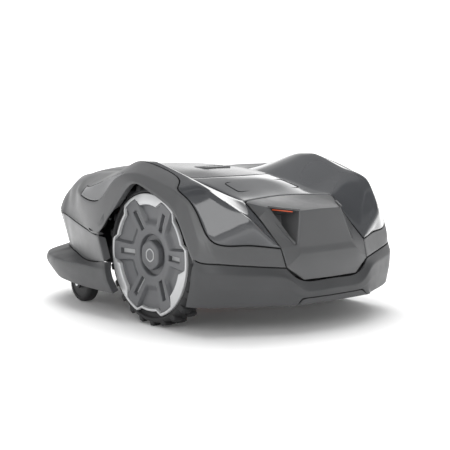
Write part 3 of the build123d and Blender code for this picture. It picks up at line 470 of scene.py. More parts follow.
class Form:
    """The smooth outer form of the cover, with the panel of each face."""

    def __init__(self, cells, level=3):
        index, points, faces = welded([cell for name in PANELS for cell in cells[name]])
        points = [Vector(p) for p in points]
        kinds = [kind for kind, name in enumerate(PANELS) for _ in range(2 * len(cells[name]))]
        kinds = [kind for kind, face in zip(kinds, faces) if len(face) > 2]
        faces = [face for face in faces if len(face) > 2]
        creases = {}
        for line, weight in crease_lines():
            for a, b in zip(line, line[1:]):
                for p, q in ((a, b), (mirrored(a), mirrored(b))):
                    if key(p) in index and key(q) in index:
                        pair = frozenset((index[key(p)], index[key(q)]))
                        creases[pair] = max(weight, creases.get(pair, 0.0))
        control = [p.copy() for p in points]
        for _ in range(7):
            dense = self.subdivide(control, faces, kinds, creases, level)
            for i, target in enumerate(points):
                control[i] += (target - dense.vertices[i].co / MM) * 0.8
        self.verts = [v.co / MM for v in dense.vertices]
        self.faces = [tuple(f.vertices) for f in dense.polygons]
        self.kinds = [f.material_index for f in dense.polygons]
        self.round_seams()

    @staticmethod
    def subdivide(control, faces, kinds, creases, level):
        mesh = mesh_of("form", control, faces)
        for _ in PANELS:
            mesh.materials.append(None)
        mesh.polygons.foreach_set("material_index", kinds)
        layer = mesh.attributes.new("crease_edge", "FLOAT", "EDGE")
        for edge in mesh.edges:
            layer.data[edge.index].value = creases.get(frozenset(edge.vertices), 0.0)
        obj = placed("form", mesh)
        modifier = obj.modifiers.new("smooth", "SUBSURF")
        modifier.levels = level
        modifier.boundary_smooth = "PRESERVE_CORNERS"
        return applied(obj)

    def round_seams(self, rounds=3):
        """Rounds the corners of the panel outlines within the surface."""
        sides = {}
        for face, kind in zip(self.faces, self.kinds):
            for a, b in zip(face, face[1:] + face[:1]):
                sides.setdefault((min(a, b), max(a, b)), []).append(kind)
        border = {v for edge, near in sides.items() if len(near) == 1 for v in edge}
        links = linked([pair for pair, near in sides.items() if len(set(near)) > 1])
        neighbours = linked(sides)
        tree = BVHTree.FromPolygons(self.verts, self.faces)
        window = PANELS.index("window")
        crisp = {v for face, kind in zip(self.faces, self.kinds) if kind == window for v in face}
        free = [v for v, near in links.items() if len(near) == 2 and v not in border | crisp]
        start = {v: self.verts[v].copy() for v in free}
        for _ in range(rounds):
            moved = {v: self.verts[v] * 0.5 + (self.verts[links[v][0]] + self.verts[links[v][1]]) * 0.25
                     for v in free}
            for v, p in moved.items():
                self.verts[v] = p
        shifted = set()
        for v in free:
            self.verts[v] = tree.find_nearest(self.verts[v])[0]
            if (self.verts[v] - start[v]).length > 0.6:
                shifted.add(v)
        ring = set(shifted)
        for _ in range(3):
            ring |= {n for v in ring for n in neighbours[v]}
        ring -= set(links) | border
        for _ in range(6):
            relaxed = {v: sum((self.verts[n] for n in neighbours[v]), Vector()) / len(neighbours[v])
                       for v in ring}
            for v, p in relaxed.items():
                self.verts[v] = tree.find_nearest(p * 0.6 + self.verts[v] * 0.4)[0]


ROLL = 0.9
SHARP_CORNER, SHARP_CORNER_DEPTH = 0.8, 1.2  # a rim stays shallow where its outline turns sharply
# Rim profiles, as pairs of inward and downward shift.
PLAIN_EDGE = [(GAP / 2 + ROLL, 0.0), (GAP / 2 + 0.3 * ROLL, 0.25 * ROLL), (GAP / 2, ROLL),
              (GAP / 2, 2.0), (GAP / 2, 3.2)]
NOSE_EDGE = PLAIN_EDGE[:3] + [(GAP / 2, 1.4), (GAP / 2, 2.0)]
SOFT_ROLL = [(1.2, 0.0), (0.4, 0.3), (0.0, 1.1)]
ARCH_EDGE = SOFT_ROLL + [(0.3, 5.0), (0.6, 14.0)]
SKIRT_ARCH_EDGE = SOFT_ROLL + [(0.2, 2.4), (0.4, 4.0)]
HEM_EDGE = SOFT_ROLL + [(0.0, 4.0), (0.6, 9.0)]


def edge_profile(p):
    """How the rim of a panel is rolled at a point: pairs of inward and downward shift."""
    x, y, z = abs(p.x), p.y, p.z
    if x > 222 and -26 < y < 232:
        return SKIRT_ARCH_EDGE if y > 190 and z < 128 else ARCH_EDGE
    if y < -120 and 54 <= z < 112:
        return NOSE_EDGE
    if z < 54:
        return HEM_EDGE
    return PLAIN_EDGE


def panel_faces(form, name, side=0):
    """The faces of one panel of the form, or only those on one side of the middle."""
    kind = PANELS.index(name)
    return [face for face, k in zip(form.faces, form.kinds)
            if k == kind and (not side or sum(form.verts[v].x for v in face) * side > 0)]


def panel_mesh(verts, faces, name):
    """A patch of surface as a mesh with rolled edges."""
    bm = bmesh.new()
    made = {}
    for face in faces:
        for v in face:
            if v not in made:
                made[v] = bm.verts.new(verts[v])
        bm.faces.new([made[v] for v in face])
    bm.normal_update()
    rim, inward = [], {}
    for edge in bm.edges:
        if not edge.is_boundary:
            continue
        loop = edge.link_loops[0]
        a, b = loop.vert, loop.link_loop_next.vert
        direction = edge.link_faces[0].normal.cross(b.co - a.co).normalized()
        rim.append((a, b))
        inward.setdefault(a, []).append(direction)
        inward.setdefault(b, []).append(direction)
    places = {}
    for v, directions in inward.items():
        total = sum(directions, Vector()).normalized()
        lean = max(0.45, total.dot(directions[0]))
        normal, start = v.normal.copy(), v.co.copy()
        deepest = SHARP_CORNER_DEPTH if lean < SHARP_CORNER else math.inf
        places[v] = [start + total * (s / lean) - normal * min(d, deepest)
                     for s, d in edge_profile(start)]
    rows = {v: [v] for v in places}
    for v, steps in places.items():
        v.co = steps[0]
        for p in steps[1:]:
            rows[v].append(bm.verts.new(p))
    for a, b in rim:
        for i in range(len(PLAIN_EDGE) - 1):
            bm.faces.new([rows[b][i], rows[a][i], rows[a][i + 1], rows[b][i + 1]])
    low, high = cad_low / MM, cad_high / MM
    for v in bm.verts:
        for i in range(3):
            v.co[i] = min(max(v.co[i], low[i]), high[i])
        v.co *= MM
    return as_mesh(bm, name)


def build_body():
    """Makes every panel of the cover and the hatch from one smooth form."""
    form = Form(body_cells())
    for name, side, node, material, slot in (
            ("top", 0, "top_cover", COVER, "cover_grey"),
            ("deck", 0, "deck_cover", DECK, "deck_gloss"),
            ("nose", 0, "nose_cover", COVER, "cover_grey"),
            ("bumper", 0, "front_bumper", DARK_GREY_WITH_PAINTED_SHADE, "bumper_grey"),
            # Painted shade: the skirt is cover-grey plastic, given the darker bumper finish.
            ("skirt", 0, "rear_skirt", DARK_GREY_WITH_PAINTED_SHADE, "cover_grey"),
            ("service", 0, "service_plate", DARK_GREY_WITH_PAINTED_SHADE, "bumper_grey"),
            ("window", 1, "side_window_left", WINDOW_GLOSS, "window_gloss"),
            ("window", -1, "side_window_right", WINDOW_GLOSS, "window_gloss"),
            ("hatch", 0, "hatch_panel", HOOD_GREY, "cover_grey")):
        mesh = panel_mesh(form.verts, panel_faces(form, name, side), name)
        body = "hatch" if name == "hatch" else "cover"
        new_object(node + "_skin", mesh, material, body, 40, (node,))
    return form


# ---- rear module and trim
WIDEST_ROUND = 9.0


def module_cells():
    """Flat faces of the rear module, one half, counter-clockwise from outside."""
    front, side, low = MODULE_FRONT_EDGE, MODULE_SIDE, MODULE_LOW
    r0, r1, r2 = RECESS
    b0, b1, b2 = RECESS_BACK
    knee, knee_low = (0, 312, 129 + DATUM), (67, 310, 129 + DATUM)
    return [[front[0], front[1], TOP_REAR[1], TOP_REAR[0]], [front[1], front[2], r1],
            [front[2], front[3], r0], [front[2], r0, r1], [front[3], front[4], r0],
            [front[4], side[0], r0], [side[0], side[1], r0],
            [TOP_REAR[0], TOP_REAR[1], FACE_LOW[1], FACE_LOW[0]],
            [FACE_LOW[0], FACE_LOW[1], knee_low, knee], [knee, knee_low, low[1], low[2]],
            [FACE_LOW[1], side[3], low[0], knee_low], [knee_low, low[0], low[1]],
            [side[1], side[2], r2, r0], [side[2], side[3], r2], [side[3], FACE_LOW[1], r2],
            [r1, r2, FACE_LOW[1]],
            [r0, b0, b1, r1], [r1, b1, b2, r2], [r2, b2, b0, r0], [b0, b2, b1]]


def module_round(a, b):
    """Radius, in mm, that rounds an edge of the module between two points."""
    middle = (a + b) / 2
    x, y, z = abs(middle.x), middle.y, middle.z - DATUM
    if y > 285 and z > 135 and x > 45 and abs(a.z - b.z) > 30:
        return 7.5
    if y > 300 and 125 < z < 140 and x < 70:
        return WIDEST_ROUND
    if y > 285 and z > 190 and x < 50:
        return 4.5
    return 2.0


def build_module():
    """Rear module with its rounded edges, and the small parts in its side recesses."""
    mesh = mesh_of("module", *welded(module_cells())[1:])
    layer = mesh.attributes.new("bevel_weight_edge", "FLOAT", "EDGE")
    sides = {}
    for face in mesh.polygons:
        for pair in face.edge_keys:
            sides.setdefault(pair, []).append(face.normal)
    for edge in mesh.edges:
        near = sides[tuple(sorted(edge.vertices))]
        if len(near) == 2 and near[0].angle(near[1]) > math.radians(9):
            a, b = (mesh.vertices[v].co / MM for v in edge.vertices)
            layer.data[edge.index].value = module_round(a, b) / WIDEST_ROUND
    mesh = bevelled(mesh, WIDEST_ROUND, 5, None)
    verts = [v.co / MM for v in mesh.vertices]
    patch = [tuple(f.vertices) for f in mesh.polygons]
    new_object("rear_module_skin", panel_mesh(verts, patch, "module"), COVER, "cover", 30,
               ("rear_module",))
    strips, ribs, flaps, pins = [], [], [], []
    for q in (1, -1):
        turn = lambda p: Vector((q * p[0], p[1], p[2] + DATUM))
        strips.append(bar(turn((76, 249.5, 198.0)), turn((56, 278, 195.4)), 3.0, 1.8, 0.5))
        ribs.append(bar(turn((84, 243, 190)), turn((67, 297, 144)), 5.5, 5.0, 1.4))
        flaps.append(bar(turn((81, 243.5, 203.2)), turn((48.5, 289.0, 199.0)), 3.6, 2.2, 0.9))
        pins.append(bar(turn((87, 239, 193)), turn((89, 241, 194.5)), 4.0, 4.0, 1.2))
    new_object("grip_strips_skin", merged(strips), ORANGE, "cover", 40,
               ("grip_strips",))
    new_object("recess_ribs", merged(ribs), COVER, "cover", 40, ())
    new_object("recess_flaps", merged(flaps), COVER, "cover", 40, ())
    new_object("recess_pins", merged(pins), SILVER, "cover", 40, ())


def bar(a, b, width, height, radius):
    """A rounded bar from a to b."""
    along = (b - a).normalized()
    side = along.cross(Vector((0, 0, 1))).normalized()
    up = side.cross(along)
    points = [p + side * (width / 2 * s) + up * (height / 2 * t) for p in (a, b)
              for s, t in ((-1, -1), (1, -1), (1, 1), (-1, 1))]
    quads = [(0, 3, 2, 1), (4, 5, 6, 7), (0, 1, 5, 4), (1, 2, 6, 5), (2, 3, 7, 6), (3, 0, 4, 7)]
    return bevelled(mesh_of("bar", points, quads), radius, 2, 30)


def band_quads(rows, n, around=False):
    """Quads between rows of n points each; around also joins the last row to the first."""
    return [(r * n + i, r * n + (i + 1) % n, (r + 1) % rows * n + (i + 1) % n, (r + 1) % rows * n + i)
            for r in range(rows if around else rows - 1) for i in range(n)]


def stack_faces(rows, n):
    """Bands between rows of n points, closed at the last and the first row."""
    return band_quads(rows, n) + [tuple(range((rows - 1) * n, rows * n)), tuple(range(n))[::-1]]


def flat(rows):
    return [p for row in rows for p in row]


def merged(meshes):
    bm = bmesh.new()
    for mesh in meshes:
        bm.from_mesh(mesh)
    return as_mesh(bm, "merged")


def outline_ring(form, outline, width, lift):
    """A thin raised line round a plain label field, laid on the form."""
    tree = BVHTree.FromPolygons(form.verts, form.faces)
    centre = sum((Vector(p) for p in outline), Vector((0, 0))) / len(outline)
    points = []
    for grow, rise in ((width, -0.4), (width, lift), (0.0, lift), (0.0, -0.4)):
        for p in outline:
            away = (Vector(p) - centre).normalized()
            u = Vector(p) + away * grow
            hit, normal, _, _ = tree.ray_cast(Vector((u.x, u.y, 400)), Vector((0, 0, -1)))
            points.append(hit + normal * rise)
    return mesh_of("label_line", points, band_quads(4, len(outline)))


GAP_SHADE_HALF_WIDTH = 246


def gap_shade_depth(p):
    """How far the painted-shade sheet lies under the panels; least where the chassis tray passes close.
    """
    if p.y < -90 and p.z < 150:
        return 2.1
    return 3.4 if p.z < 128 else 5.0


def build_gap_shade_sheet(form):
    """Dark sheet a little under the panels, seen only through the gaps: painted shade that keeps the gaps
    black.
    """
    bm = bmesh.new()
    hatch = PANELS.index("hatch")
    faces = [f for f, k in zip(form.faces, form.kinds) if k != hatch]
    bm.from_mesh(mesh_of("gap_shade", form.verts, faces, 1.0))
    drop_loose(bm)
    bm.normal_update()
    rim = {v for e in bm.edges if e.is_boundary for v in e.verts}
    open_rim = {v for v in rim if edge_profile(v.co) is not PLAIN_EDGE}
    drop = [f for f in bm.faces if any(v in open_rim for v in f.verts)]
    bmesh.ops.delete(bm, geom=drop, context="FACES")
    for v in bm.verts:
        v.co -= v.normal * gap_shade_depth(v.co)
        v.co.x = min(max(v.co.x, -GAP_SHADE_HALF_WIDTH), GAP_SHADE_HALF_WIDTH)
        v.co *= MM
    # Painted shade: a near-black sheet where the gaps would only be in shade.
    new_object("gap_shade_sheet", as_mesh(bm, "gap_shade"), TRIM_AND_GAP_SHADE_BLACK, "cover", 40, ())


BUTTON_ROWS = [(0, 6.0), (0, 2.2), (0.6, 1.2), (2.0, 0.6), (4.5, 0.35)]  # inset and drop from the top
GRIP_RIBS, GRIP_PITCH, GRIP_HALF = 9, 6, 9


def build_button():
    """Stop button with raised grip ribs, flush with the hood."""
    low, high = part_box("stop_button")
    cx, cy = 0.0, (low.y + high.y) / 2 / MM
    hx, hy, top = (high.x - low.x) / 2 / MM, (high.y - low.y) / 2 / MM, high.z / MM
    corners = [(cx - hx, cy - hy), (cx + hx, cy - hy), (cx + hx, cy + hy), (cx - hx, cy + hy)]
    outline = rounded(corners, 9, 6)
    rows = []
    for inset, drop in BUTTON_ROWS:
        kx, ky = 1 - inset / hx, 1 - inset / hy
        rows.append([(cx + (x - cx) * kx, cy + (y - cy) * ky, top - drop) for x, y in outline])
    parts = [mesh_of("button", flat(rows), stack_faces(len(rows), len(outline)))]
    for k in range(GRIP_RIBS):
        x = GRIP_PITCH * (k - (GRIP_RIBS - 1) / 2)
        ends = [Vector((x, cy + v, top - 0.6)) for v in (-GRIP_HALF, GRIP_HALF)]
        parts.append(bar(*ends, 2.2, 1.2, 0.5))
    new_object("stop_button_skin", merged(parts), BUTTON, "stop_button", 30,
               ("stop_button",))


LABEL_FIELD = [(-68, 114), (68, 114), (72, 160), (-72, 160)]


def build_trim(form):
    """Outline of the empty label field on the deck."""
    plate = rounded(LABEL_FIELD, 9.0, 8)
    new_object("name_plate_skin", outline_ring(form, plate, 1.5, 0.7), TRIM_AND_GAP_SHADE_BLACK, "cover", 40,
               ("name_plate",))


# ---- drive wheels
TYRE_LOW, TYRE_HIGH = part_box("drive_tyre_left")
AXLE = Vector((0, (TYRE_LOW.y + TYRE_HIGH.y) / 2, (TYRE_LOW.z + TYRE_HIGH.z) / 2)) / MM
TYRE_R = (TYRE_HIGH.z - TYRE_LOW.z) / 2 / MM
TYRE_IN, TYRE_OUT = TYRE_LOW.x / MM, TYRE_HIGH.x / MM
FACE_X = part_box("wheel_ring_left")[0].x / MM
RING_R = 106.0
CAPS, DIPS = (90, 210, 330), (30, 150, 270)


def wheel_point(x, radius, degrees, side=1):
    a = math.radians(degrees)
    return (side * x, AXLE.y + radius * math.cos(a), AXLE.z + radius * math.sin(a))


def revolved(profile, steps):
    """Points and quads of a closed profile of (x, radius) turned about the axle."""
    points = [wheel_point(x, r, 360 * k / steps) for k in range(steps) for x, r in profile]
    return points, band_quads(steps, len(profile), True)


def ramp_between(value, low, high):
    """0 up to the first limit, 1 from the second on, and a straight rise between them."""
    return min(1.0, max(0.0, (value - low) / (high - low)))


def off_centre(angle, centres):
    """Degrees from the nearest of the given directions."""
    return min(abs((angle - c + 180) % 360 - 180) for c in centres)


def ring_radii(angle):
    """Inner and outer edge of the bright ring at an angle."""
    dip = 1 - ramp_between(off_centre(angle, DIPS), 13, 19)
    cap = 1 - ramp_between(off_centre(angle, CAPS), 15, 22)
    inner = 100.8 - 9.5 * dip - 14.0 * cap
    outer = RING_R - 10.0 * dip
    return inner, outer


def joined(parts):
    points, faces = [], []
    for p, f in parts:
        base = len(points)
        points += p
        faces += [tuple(base + v for v in face) for face in f]
    return points, faces


def closed_mesh(name, parts):
    mesh = mesh_of(name, *joined(parts))
    bm = bmesh.new()
    bm.from_mesh(mesh)
    bmesh.ops.recalc_face_normals(bm, faces=bm.faces)
    return as_mesh(bm, name)


def tyre_mesh(side):
    """Tyre with two staggered rows of lugs."""
    base = TYRE_R - 6.0
    profile = [(TYRE_IN + 5, 88), (FACE_X - 3, 88), (FACE_X - 2, 100), (FACE_X - 1, RING_R + 0.6),
               (FACE_X + 2.6, RING_R + 1.2), (TYRE_OUT - 0.6, RING_R + 2.2), (TYRE_OUT - 0.2, RING_R + 4),
               (TYRE_OUT - 1.2, RING_R + 6), (TYRE_OUT - 3.4, base - 2), (TYRE_OUT - 6.5, base - 0.4),
               (TYRE_OUT - 10, base), (TYRE_IN + 10, base), (TYRE_IN + 6, base - 0.6),
               (TYRE_IN + 2.4, base - 3.5), (TYRE_IN + 0.6, base - 8), (TYRE_IN, base - 13),
               (TYRE_IN + 0.6, 96), (TYRE_IN + 2.4, 90)]
    points, faces = revolved(profile, 120)
    if side < 0:
        points = [mirrored(p) for p in points]
    parts = [(points, faces)]
    half, middle = (TYRE_OUT - TYRE_IN) / 2, (TYRE_OUT + TYRE_IN) / 2
    for k in range(24):
        for out in (1, -1):
            centre = 15.0 * (k + (0.0 if out > 0 else 0.5)) - 90.0
            lug = []
            for radius, grow in ((base - 4.5, 1.8), (base + 4.6, 0.6), (TYRE_R - 0.1, 0.0)):
                for along, across in ((0.03, -1), (0.03, 1), (0.5, 1.05), (0.80, 1.1), (0.95, 0.8),
                                      (0.95, -0.8), (0.80, -1.1), (0.5, -1.05)):
                    x = middle + out * half * along
                    if along > 0.9:
                        x = middle + out * (half * (0.86 if radius > base else 0.97))
                    skew = out * (along - 0.4) * 6.0
                    shift = across * (4.6 + grow) + skew
                    r = radius - (0.9 if along > 0.7 and radius > base + 5 else 0.0)
                    lug.append(wheel_point(x, r, centre + math.degrees(shift / radius), side))
            parts.append((lug, stack_faces(3, 8)))
    return bevelled(closed_mesh("tyre", parts), 0.7, 2, 38)


def ring_mesh(side):
    """Bright ring between the wheel's face and the tyre."""
    steps = 360
    rows = []
    for k in range(steps):
        angle = 360 * k / steps
        inner, outer = ring_radii(angle)
        cap = 1 - ramp_between(off_centre(angle, CAPS), 14, 21)
        top = FACE_X + 7.2
        raised = top + 0.6 * cap
        profile = [(FACE_X + 1, inner), (raised - 1.2, inner + 0.2), (raised - 0.3, inner + 0.9),
                   (raised, inner + 1.9), (top, outer - 1.8), (top - 0.5, outer - 0.6),
                   (top - 1.6, outer), (FACE_X + 1, outer)]
        rows.append([wheel_point(x, r, angle, side) for x, r in profile])
    return closed_mesh("ring", [(flat(rows), band_quads(steps, len(rows[0]), True))])


def rounded(points, radius, steps=4):
    """Outline with its corners rounded."""
    result = []
    n = len(points)
    for i in range(n):
        a, b, c = Vector(points[i - 1]), Vector(points[i]), Vector(points[(i + 1) % n])
        r = min(radius, (a - b).length * 0.45, (c - b).length * 0.45)
        p, q = b + (a - b).normalized() * r, b + (c - b).normalized() * r
        for s in range(steps + 1):
            t = s / steps
            result.append(tuple(p * (1 - t) ** 2 + b * 2 * t * (1 - t) + q * t * t))
    return result


def hexagon(radius):
    return [(radius * math.cos(math.radians(30 + 60 * k)), radius * math.sin(math.radians(30 + 60 * k)))
            for k in range(6)]


SLOT_HALF, SLOT_FROM, SLOT_TO, SLOT_DEPTH = 4.8, 48.0, 84.0, 7.0
HUB_R, FACE_R, DISH, POCKET_DEPTH = 36.0, 99.0, 8.5, 6.5
RELIEF_ROWS = [20.0, HUB_R - 1.8, HUB_R - 0.6, HUB_R, HUB_R + 1.4, HUB_R + 3.5, 43, SLOT_FROM - 1.2,
               SLOT_FROM, SLOT_FROM + 0.9, 51, 54, 57, 60, 63, 66, 70, 74, 78, 81, SLOT_TO - 0.9, SLOT_TO,
               SLOT_TO + 1.2, 87, 90, 93, 96, 98, FACE_R]


def spoke_half(radius):
    return 12.0 + (radius - 40.0) * 0.075


def relief_columns(radius):
    """Directions, in degrees from the middle of a spoke, and offsets of the relief's columns."""
    edge = spoke_half(max(radius, HUB_R))
    offsets = [0.0, 1.8, SLOT_HALF - 0.9, SLOT_HALF, SLOT_HALF + 0.9, 8.0, edge - 1.6, edge - 0.5,
               edge + 0.6, edge + 3.4, edge + 4.6]
    reach = max(radius, HUB_R)
    columns = [(math.degrees(math.asin(v / reach)), v) for v in offsets]
    last = columns[-1][0]
    columns += [(last + (30.0 - last) * k / 5, 100.0) for k in range(1, 6)]
    return columns


def relief_height(radius, offset):
    """Height of the wheel's face below the plane of the ring."""
    height = -DISH * ramp_between(radius, FACE_R, HUB_R)
    if radius > FACE_R - 0.5:
        return height - 3.0
    if radius < HUB_R - 1.0:
        return -15.0
    if radius < HUB_R:
        return height - 1.2
    if radius < HUB_R + 2.0:
        height += 0.6 * (1 - abs(radius - HUB_R - 1.4) / 1.4) if radius > HUB_R else 0.0
    if SLOT_FROM + 0.5 < radius < SLOT_TO - 0.5 and offset < SLOT_HALF - 0.5:
        return height - SLOT_DEPTH
    if SLOT_FROM - 0.5 < radius < SLOT_TO + 0.5 and offset < SLOT_HALF + 0.5:
        return height - 0.5
    edge = spoke_half(radius)
    wall = ramp_between(offset, edge - 0.2, edge + 3.4)
    if offset <= edge:
        wall = 0.0
    start = ramp_between(radius, 52.0, 62.0)
    return height - POCKET_DEPTH * wall * start


def face_meshes(side):
    """Spoked, dished face of the wheel, and the pale floors of its slots."""
    grid_points, deep = [], []
    for radius in RELIEF_ROWS:
        half = relief_columns(radius)
        sector = [(-a, v) for a, v in reversed(half[1:])] + half[:-1]
        row, low = [], []
        for k in range(6):
            for a, v in sector:
                angle = 60 * k + a
                out = ring_radii(angle % 360)[0] + 0.6
                r = radius
                if radius > SLOT_TO + 1.5:
                    base = SLOT_TO + 1.2
                    r = base + (radius - base) * (out - base) / (FACE_R - base)
                height = relief_height(radius, v)
                row.append(wheel_point(FACE_X + 6.4 + height, r, angle, side))
                low.append(SLOT_FROM + 0.5 < radius < SLOT_TO - 0.5 and v < SLOT_HALF - 0.5)
        grid_points.append(row)
        deep.append(low)
    n = len(grid_points[0])
    points = flat(grid_points)
    kinds = [[], []]
    for r in range(len(RELIEF_ROWS) - 1):
        for i in range(n):
            j = (i + 1) % n
            quad = (r * n + i, (r + 1) * n + i, (r + 1) * n + j, r * n + j)
            floor = deep[r][i] and deep[r + 1][i] and deep[r][j] and deep[r + 1][j]
            kinds[1 if floor else 0].append(quad if side > 0 else quad[::-1])
    meshes = []
    for name, faces in zip(("face", "slots"), kinds):
        bm = bmesh.new()
        bm.from_mesh(mesh_of(name, points, faces))
        drop_loose(bm)
        meshes.append(as_mesh(bm, name))
    return meshes


def hub_mesh(name, side, rings, capped):
    """Hexagonal rings on the hub, from rows of radius, height and corner; capped closes the last."""
    rows = []
    for radius, height, corner in rings:
        outline = rounded(hexagon(radius), corner, 6)
        rows.append([(side * (FACE_X + height), AXLE.y + u, AXLE.z + v) for u, v in outline])
    n = len(rows[0])
    faces = band_quads(len(rows), n)
    if capped:
        faces.append(tuple(range((len(rows) - 1) * n, len(rows) * n)))
    return closed_mesh(name, [(flat(rows), faces)])


# Radius, height above the face plane and corner radius of the cap's and the mark's rings.
CAP_RINGS = [(28.0, -7.6, 9), (28.0, 0.6, 9), (27.4, 2.2, 9), (25.6, 3.2, 8.5), (22.5, 3.4, 8),
             (20.5, 2.6, 7), (10.0, 2.4, 4.0), (0.6, 2.4, 0.2)]
MARK_RINGS = [(13.0, 2.0, 5), (13.0, 2.9, 5), (12.6, 3.1, 5), (10.8, 3.1, 4), (10.4, 2.9, 4),
              (10.4, 2.0, 4)]


def build_wheels():
    for side, word in ((1, "left"), (-1, "right")):
        face, slots = face_meshes(side)
        cap, mark = hub_mesh("cap", side, CAP_RINGS, True), hub_mesh("mark", side, MARK_RINGS, False)
        for name, mesh, material, sharp, node, slot in (
                ("tyre", tyre_mesh(side), TYRE, 40, "drive_tyre", "tyre_black"),
                ("spoked_face", face, WHEEL, 38, "wheel_cover", "wheel_grey"),
                ("slot_floor", slots, PALE, 38, None, "ring_silver"),
                ("bright_ring", ring_mesh(side), SILVER, 34, "wheel_ring", "ring_silver"),
                ("hub_badge", cap, WHEEL, 34, "hub_cap", "wheel_grey"),
                ("hub_mark", mark, PALE, 34, None, "ring_silver")):
            nodes = (f"{node}_{word}",) if node else ()
            new_object(f"{name}_{word}", mesh, material, f"wheel_{word}", sharp, nodes)


# ---- studio
# Soft light and dark cards round the studio: lowest and highest azimuth, lowest and highest
# elevation, in degrees, then brightness and softness of the edge.
CARDS = [
    (-154, -124, 4, 26, 1.9, 7.0),
    (118, 222, 58, 90, 0.06, 4.0),
    (-130, -60, 60, 90, 0.06, 6.0),
    (-40, 20, 50, 78, 0.06, 3.0),
    (26, 66, 20, 43, 3.3, 1.2),
    (-128, -108, 32, 50, 0.36, 6.0),
    (-180, -138, 36, 60, 0.10, 6.0),
]
SKY = [(0.0, 1.0), (0.18, 1.0), (0.28, 0.8), (0.46, 0.5), (0.7, 0.4), (1.0, 0.32)]
SKY_STRENGTH = 1.12
# Name, place in m, size in m, power in W and the point it faces.
LAMPS = [
    ("key", (-0.6, -1.2, 2.3), (2.4, 1.6), 66.0, (0, 0, 0.15)),
    ("top", (0.1, 0.2, 2.8), (2.2, 2.2), 34.0, (0, 0, 0.15)),
    ("side", (2.6, 0.6, 1.2), (1.0, 1.0), 2.0, (0, 0, 0.12)),
]
FLOOR_HALF = 9
# Floor glow stops: near zero round the object, a painted shadow there, and full glow farther out.
FLOOR_GLOW_AND_PAINTED_SHADOW = [(0.2, 0.04), (0.36, 0.25), (0.55, 0.8), (0.8, 1.0)]  # over the first metres outwards
GLOW_REACH, GLOW_STRENGTH = 1.5, 0.8
CAMERA_PLACE, CAMERA_DOWN, CAMERA_TURN = (1.42753, 1.73665, 0.4131), 0.1173, 140.004
CAMERA_LENS, SENSOR_WIDTH = 96.0, 36.0


def math_node(tree, operation, a, b=None, clamp=False):
    node = tree.nodes.new("ShaderNodeMath")
    node.operation = operation
    node.use_clamp = clamp
    for socket, value in zip(node.inputs, (a, b)):
        if value is None:
            continue
        if isinstance(value, (int, float)):
            socket.default_value = value
        else:
            tree.links.new(value, socket)
    return node.outputs[0]


def inside(tree, value, low, high, soft):
    """1 where the value lies between two limits, with soft edges."""
    rise = math_node(tree, "DIVIDE", math_node(tree, "SUBTRACT", value, low), soft, True)
    fall = math_node(tree, "DIVIDE", math_node(tree, "SUBTRACT", high, value), soft, True)
    return math_node(tree, "MULTIPLY", rise, fall)


def with_card(tree, sky, axes, az_low, az_high, el_low, el_high, value, soft):
    """Adds a flat card at the given azimuth and elevation range to the surroundings."""
    degrees = 180 / math.pi
    azimuth = math_node(tree, "MULTIPLY", math_node(tree, "ARCTAN2", axes["Y"], axes["X"]), degrees)
    if az_high > 180:
        turned_back = math_node(tree, "LESS_THAN", azimuth, 0.0)
        azimuth = math_node(tree, "ADD", azimuth, math_node(tree, "MULTIPLY", turned_back, 360.0))
    elevation = math_node(tree, "MULTIPLY", math_node(tree, "ARCSINE", axes["Z"]), degrees)
    mask = math_node(tree, "MULTIPLY", inside(tree, azimuth, az_low, az_high, soft),
                     inside(tree, elevation, el_low, el_high, soft))
    mix = tree.nodes.new("ShaderNodeMix")
    mix.data_type = "RGBA"
    tree.links.new(mask, mix.inputs["Factor"])
    tree.links.new(sky, mix.inputs[6])
    mix.inputs[7].default_value = (value, value, value, 1.0)
    return mix.outputs[2]


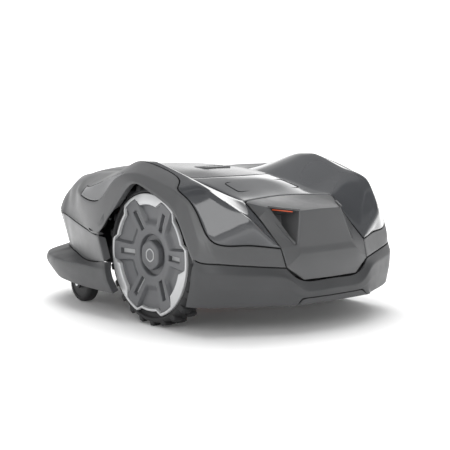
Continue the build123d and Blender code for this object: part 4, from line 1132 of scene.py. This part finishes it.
def build_floor():
    """Pale floor that glows a little away from the object, so that it fades into the background, and
    glows least close round the object: a painted shadow there.
    """
    h = FLOOR_HALF
    floor = mesh_of("floor", [(-h, -h, 0), (h, -h, 0), (h, h, 0), (-h, h, 0)], [(0, 1, 2, 3)], 1.0)
    ground = placed("floor", floor)
    paper = node_material("floor_white", (0.9, 0.9, 0.9), 0.8)
    tree = paper.node_tree
    shader = tree.nodes["Principled BSDF"]
    coords = tree.nodes.new("ShaderNodeTexCoord")
    length = tree.nodes.new("ShaderNodeVectorMath")
    length.operation = "LENGTH"
    tree.links.new(coords.outputs["Object"], length.inputs[0])
    distance = math_node(tree, "DIVIDE", length.outputs["Value"], GLOW_REACH)
    feed(tree, shader, "Emission Color", distance, FLOOR_GLOW_AND_PAINTED_SHADOW)
    set_inputs(shader, Emission_Strength=GLOW_STRENGTH)
    floor.materials.append(paper)


def build_sky():
    """Surroundings that are bright near the horizon, with the cards in them."""
    world = bpy.data.worlds.new("studio")
    bpy.context.scene.world = world
    world.use_nodes = True
    tree = world.node_tree
    background = tree.nodes["Background"]
    coords = tree.nodes.new("ShaderNodeTexCoord")
    split = tree.nodes.new("ShaderNodeSeparateXYZ")
    tree.links.new(coords.outputs["Generated"], split.inputs["Vector"])
    sky = ramp(tree, split.outputs["Z"], SKY)
    for card in CARDS:
        sky = with_card(tree, sky, split.outputs, *card)
    tree.links.new(sky, background.inputs["Color"])
    set_inputs(background, Strength=SKY_STRENGTH)


def build_lamps():
    for name, place, size, power, aim in LAMPS:
        light = bpy.data.lights.new(name, "AREA")
        light.shape = "RECTANGLE"
        light.size, light.size_y = size
        light.energy = power
        lamp = placed(name, light)
        lamp.location = place
        lamp.visible_glossy = False
        lamp.rotation_euler = (Vector(aim) - Vector(place)).to_track_quat("-Z", "Y").to_euler()


def build_camera():
    camera = bpy.data.cameras.new("camera")
    camera.lens, camera.sensor_width = CAMERA_LENS, SENSOR_WIDTH
    camera.clip_end = 60.0
    eye = placed("camera", camera)
    eye.location = CAMERA_PLACE
    eye.rotation_euler = (math.pi / 2 - CAMERA_DOWN, 0.0, math.radians(CAMERA_TURN))
    bpy.context.scene.camera = eye
    bpy.context.scene.view_settings.view_transform = "Standard"


build_floor()
build_sky()
build_lamps()
build_camera()
dress_nodes()
form = build_body()
build_module()
build_trim(form)
build_button()
build_gap_shade_sheet(form)
build_wheels()
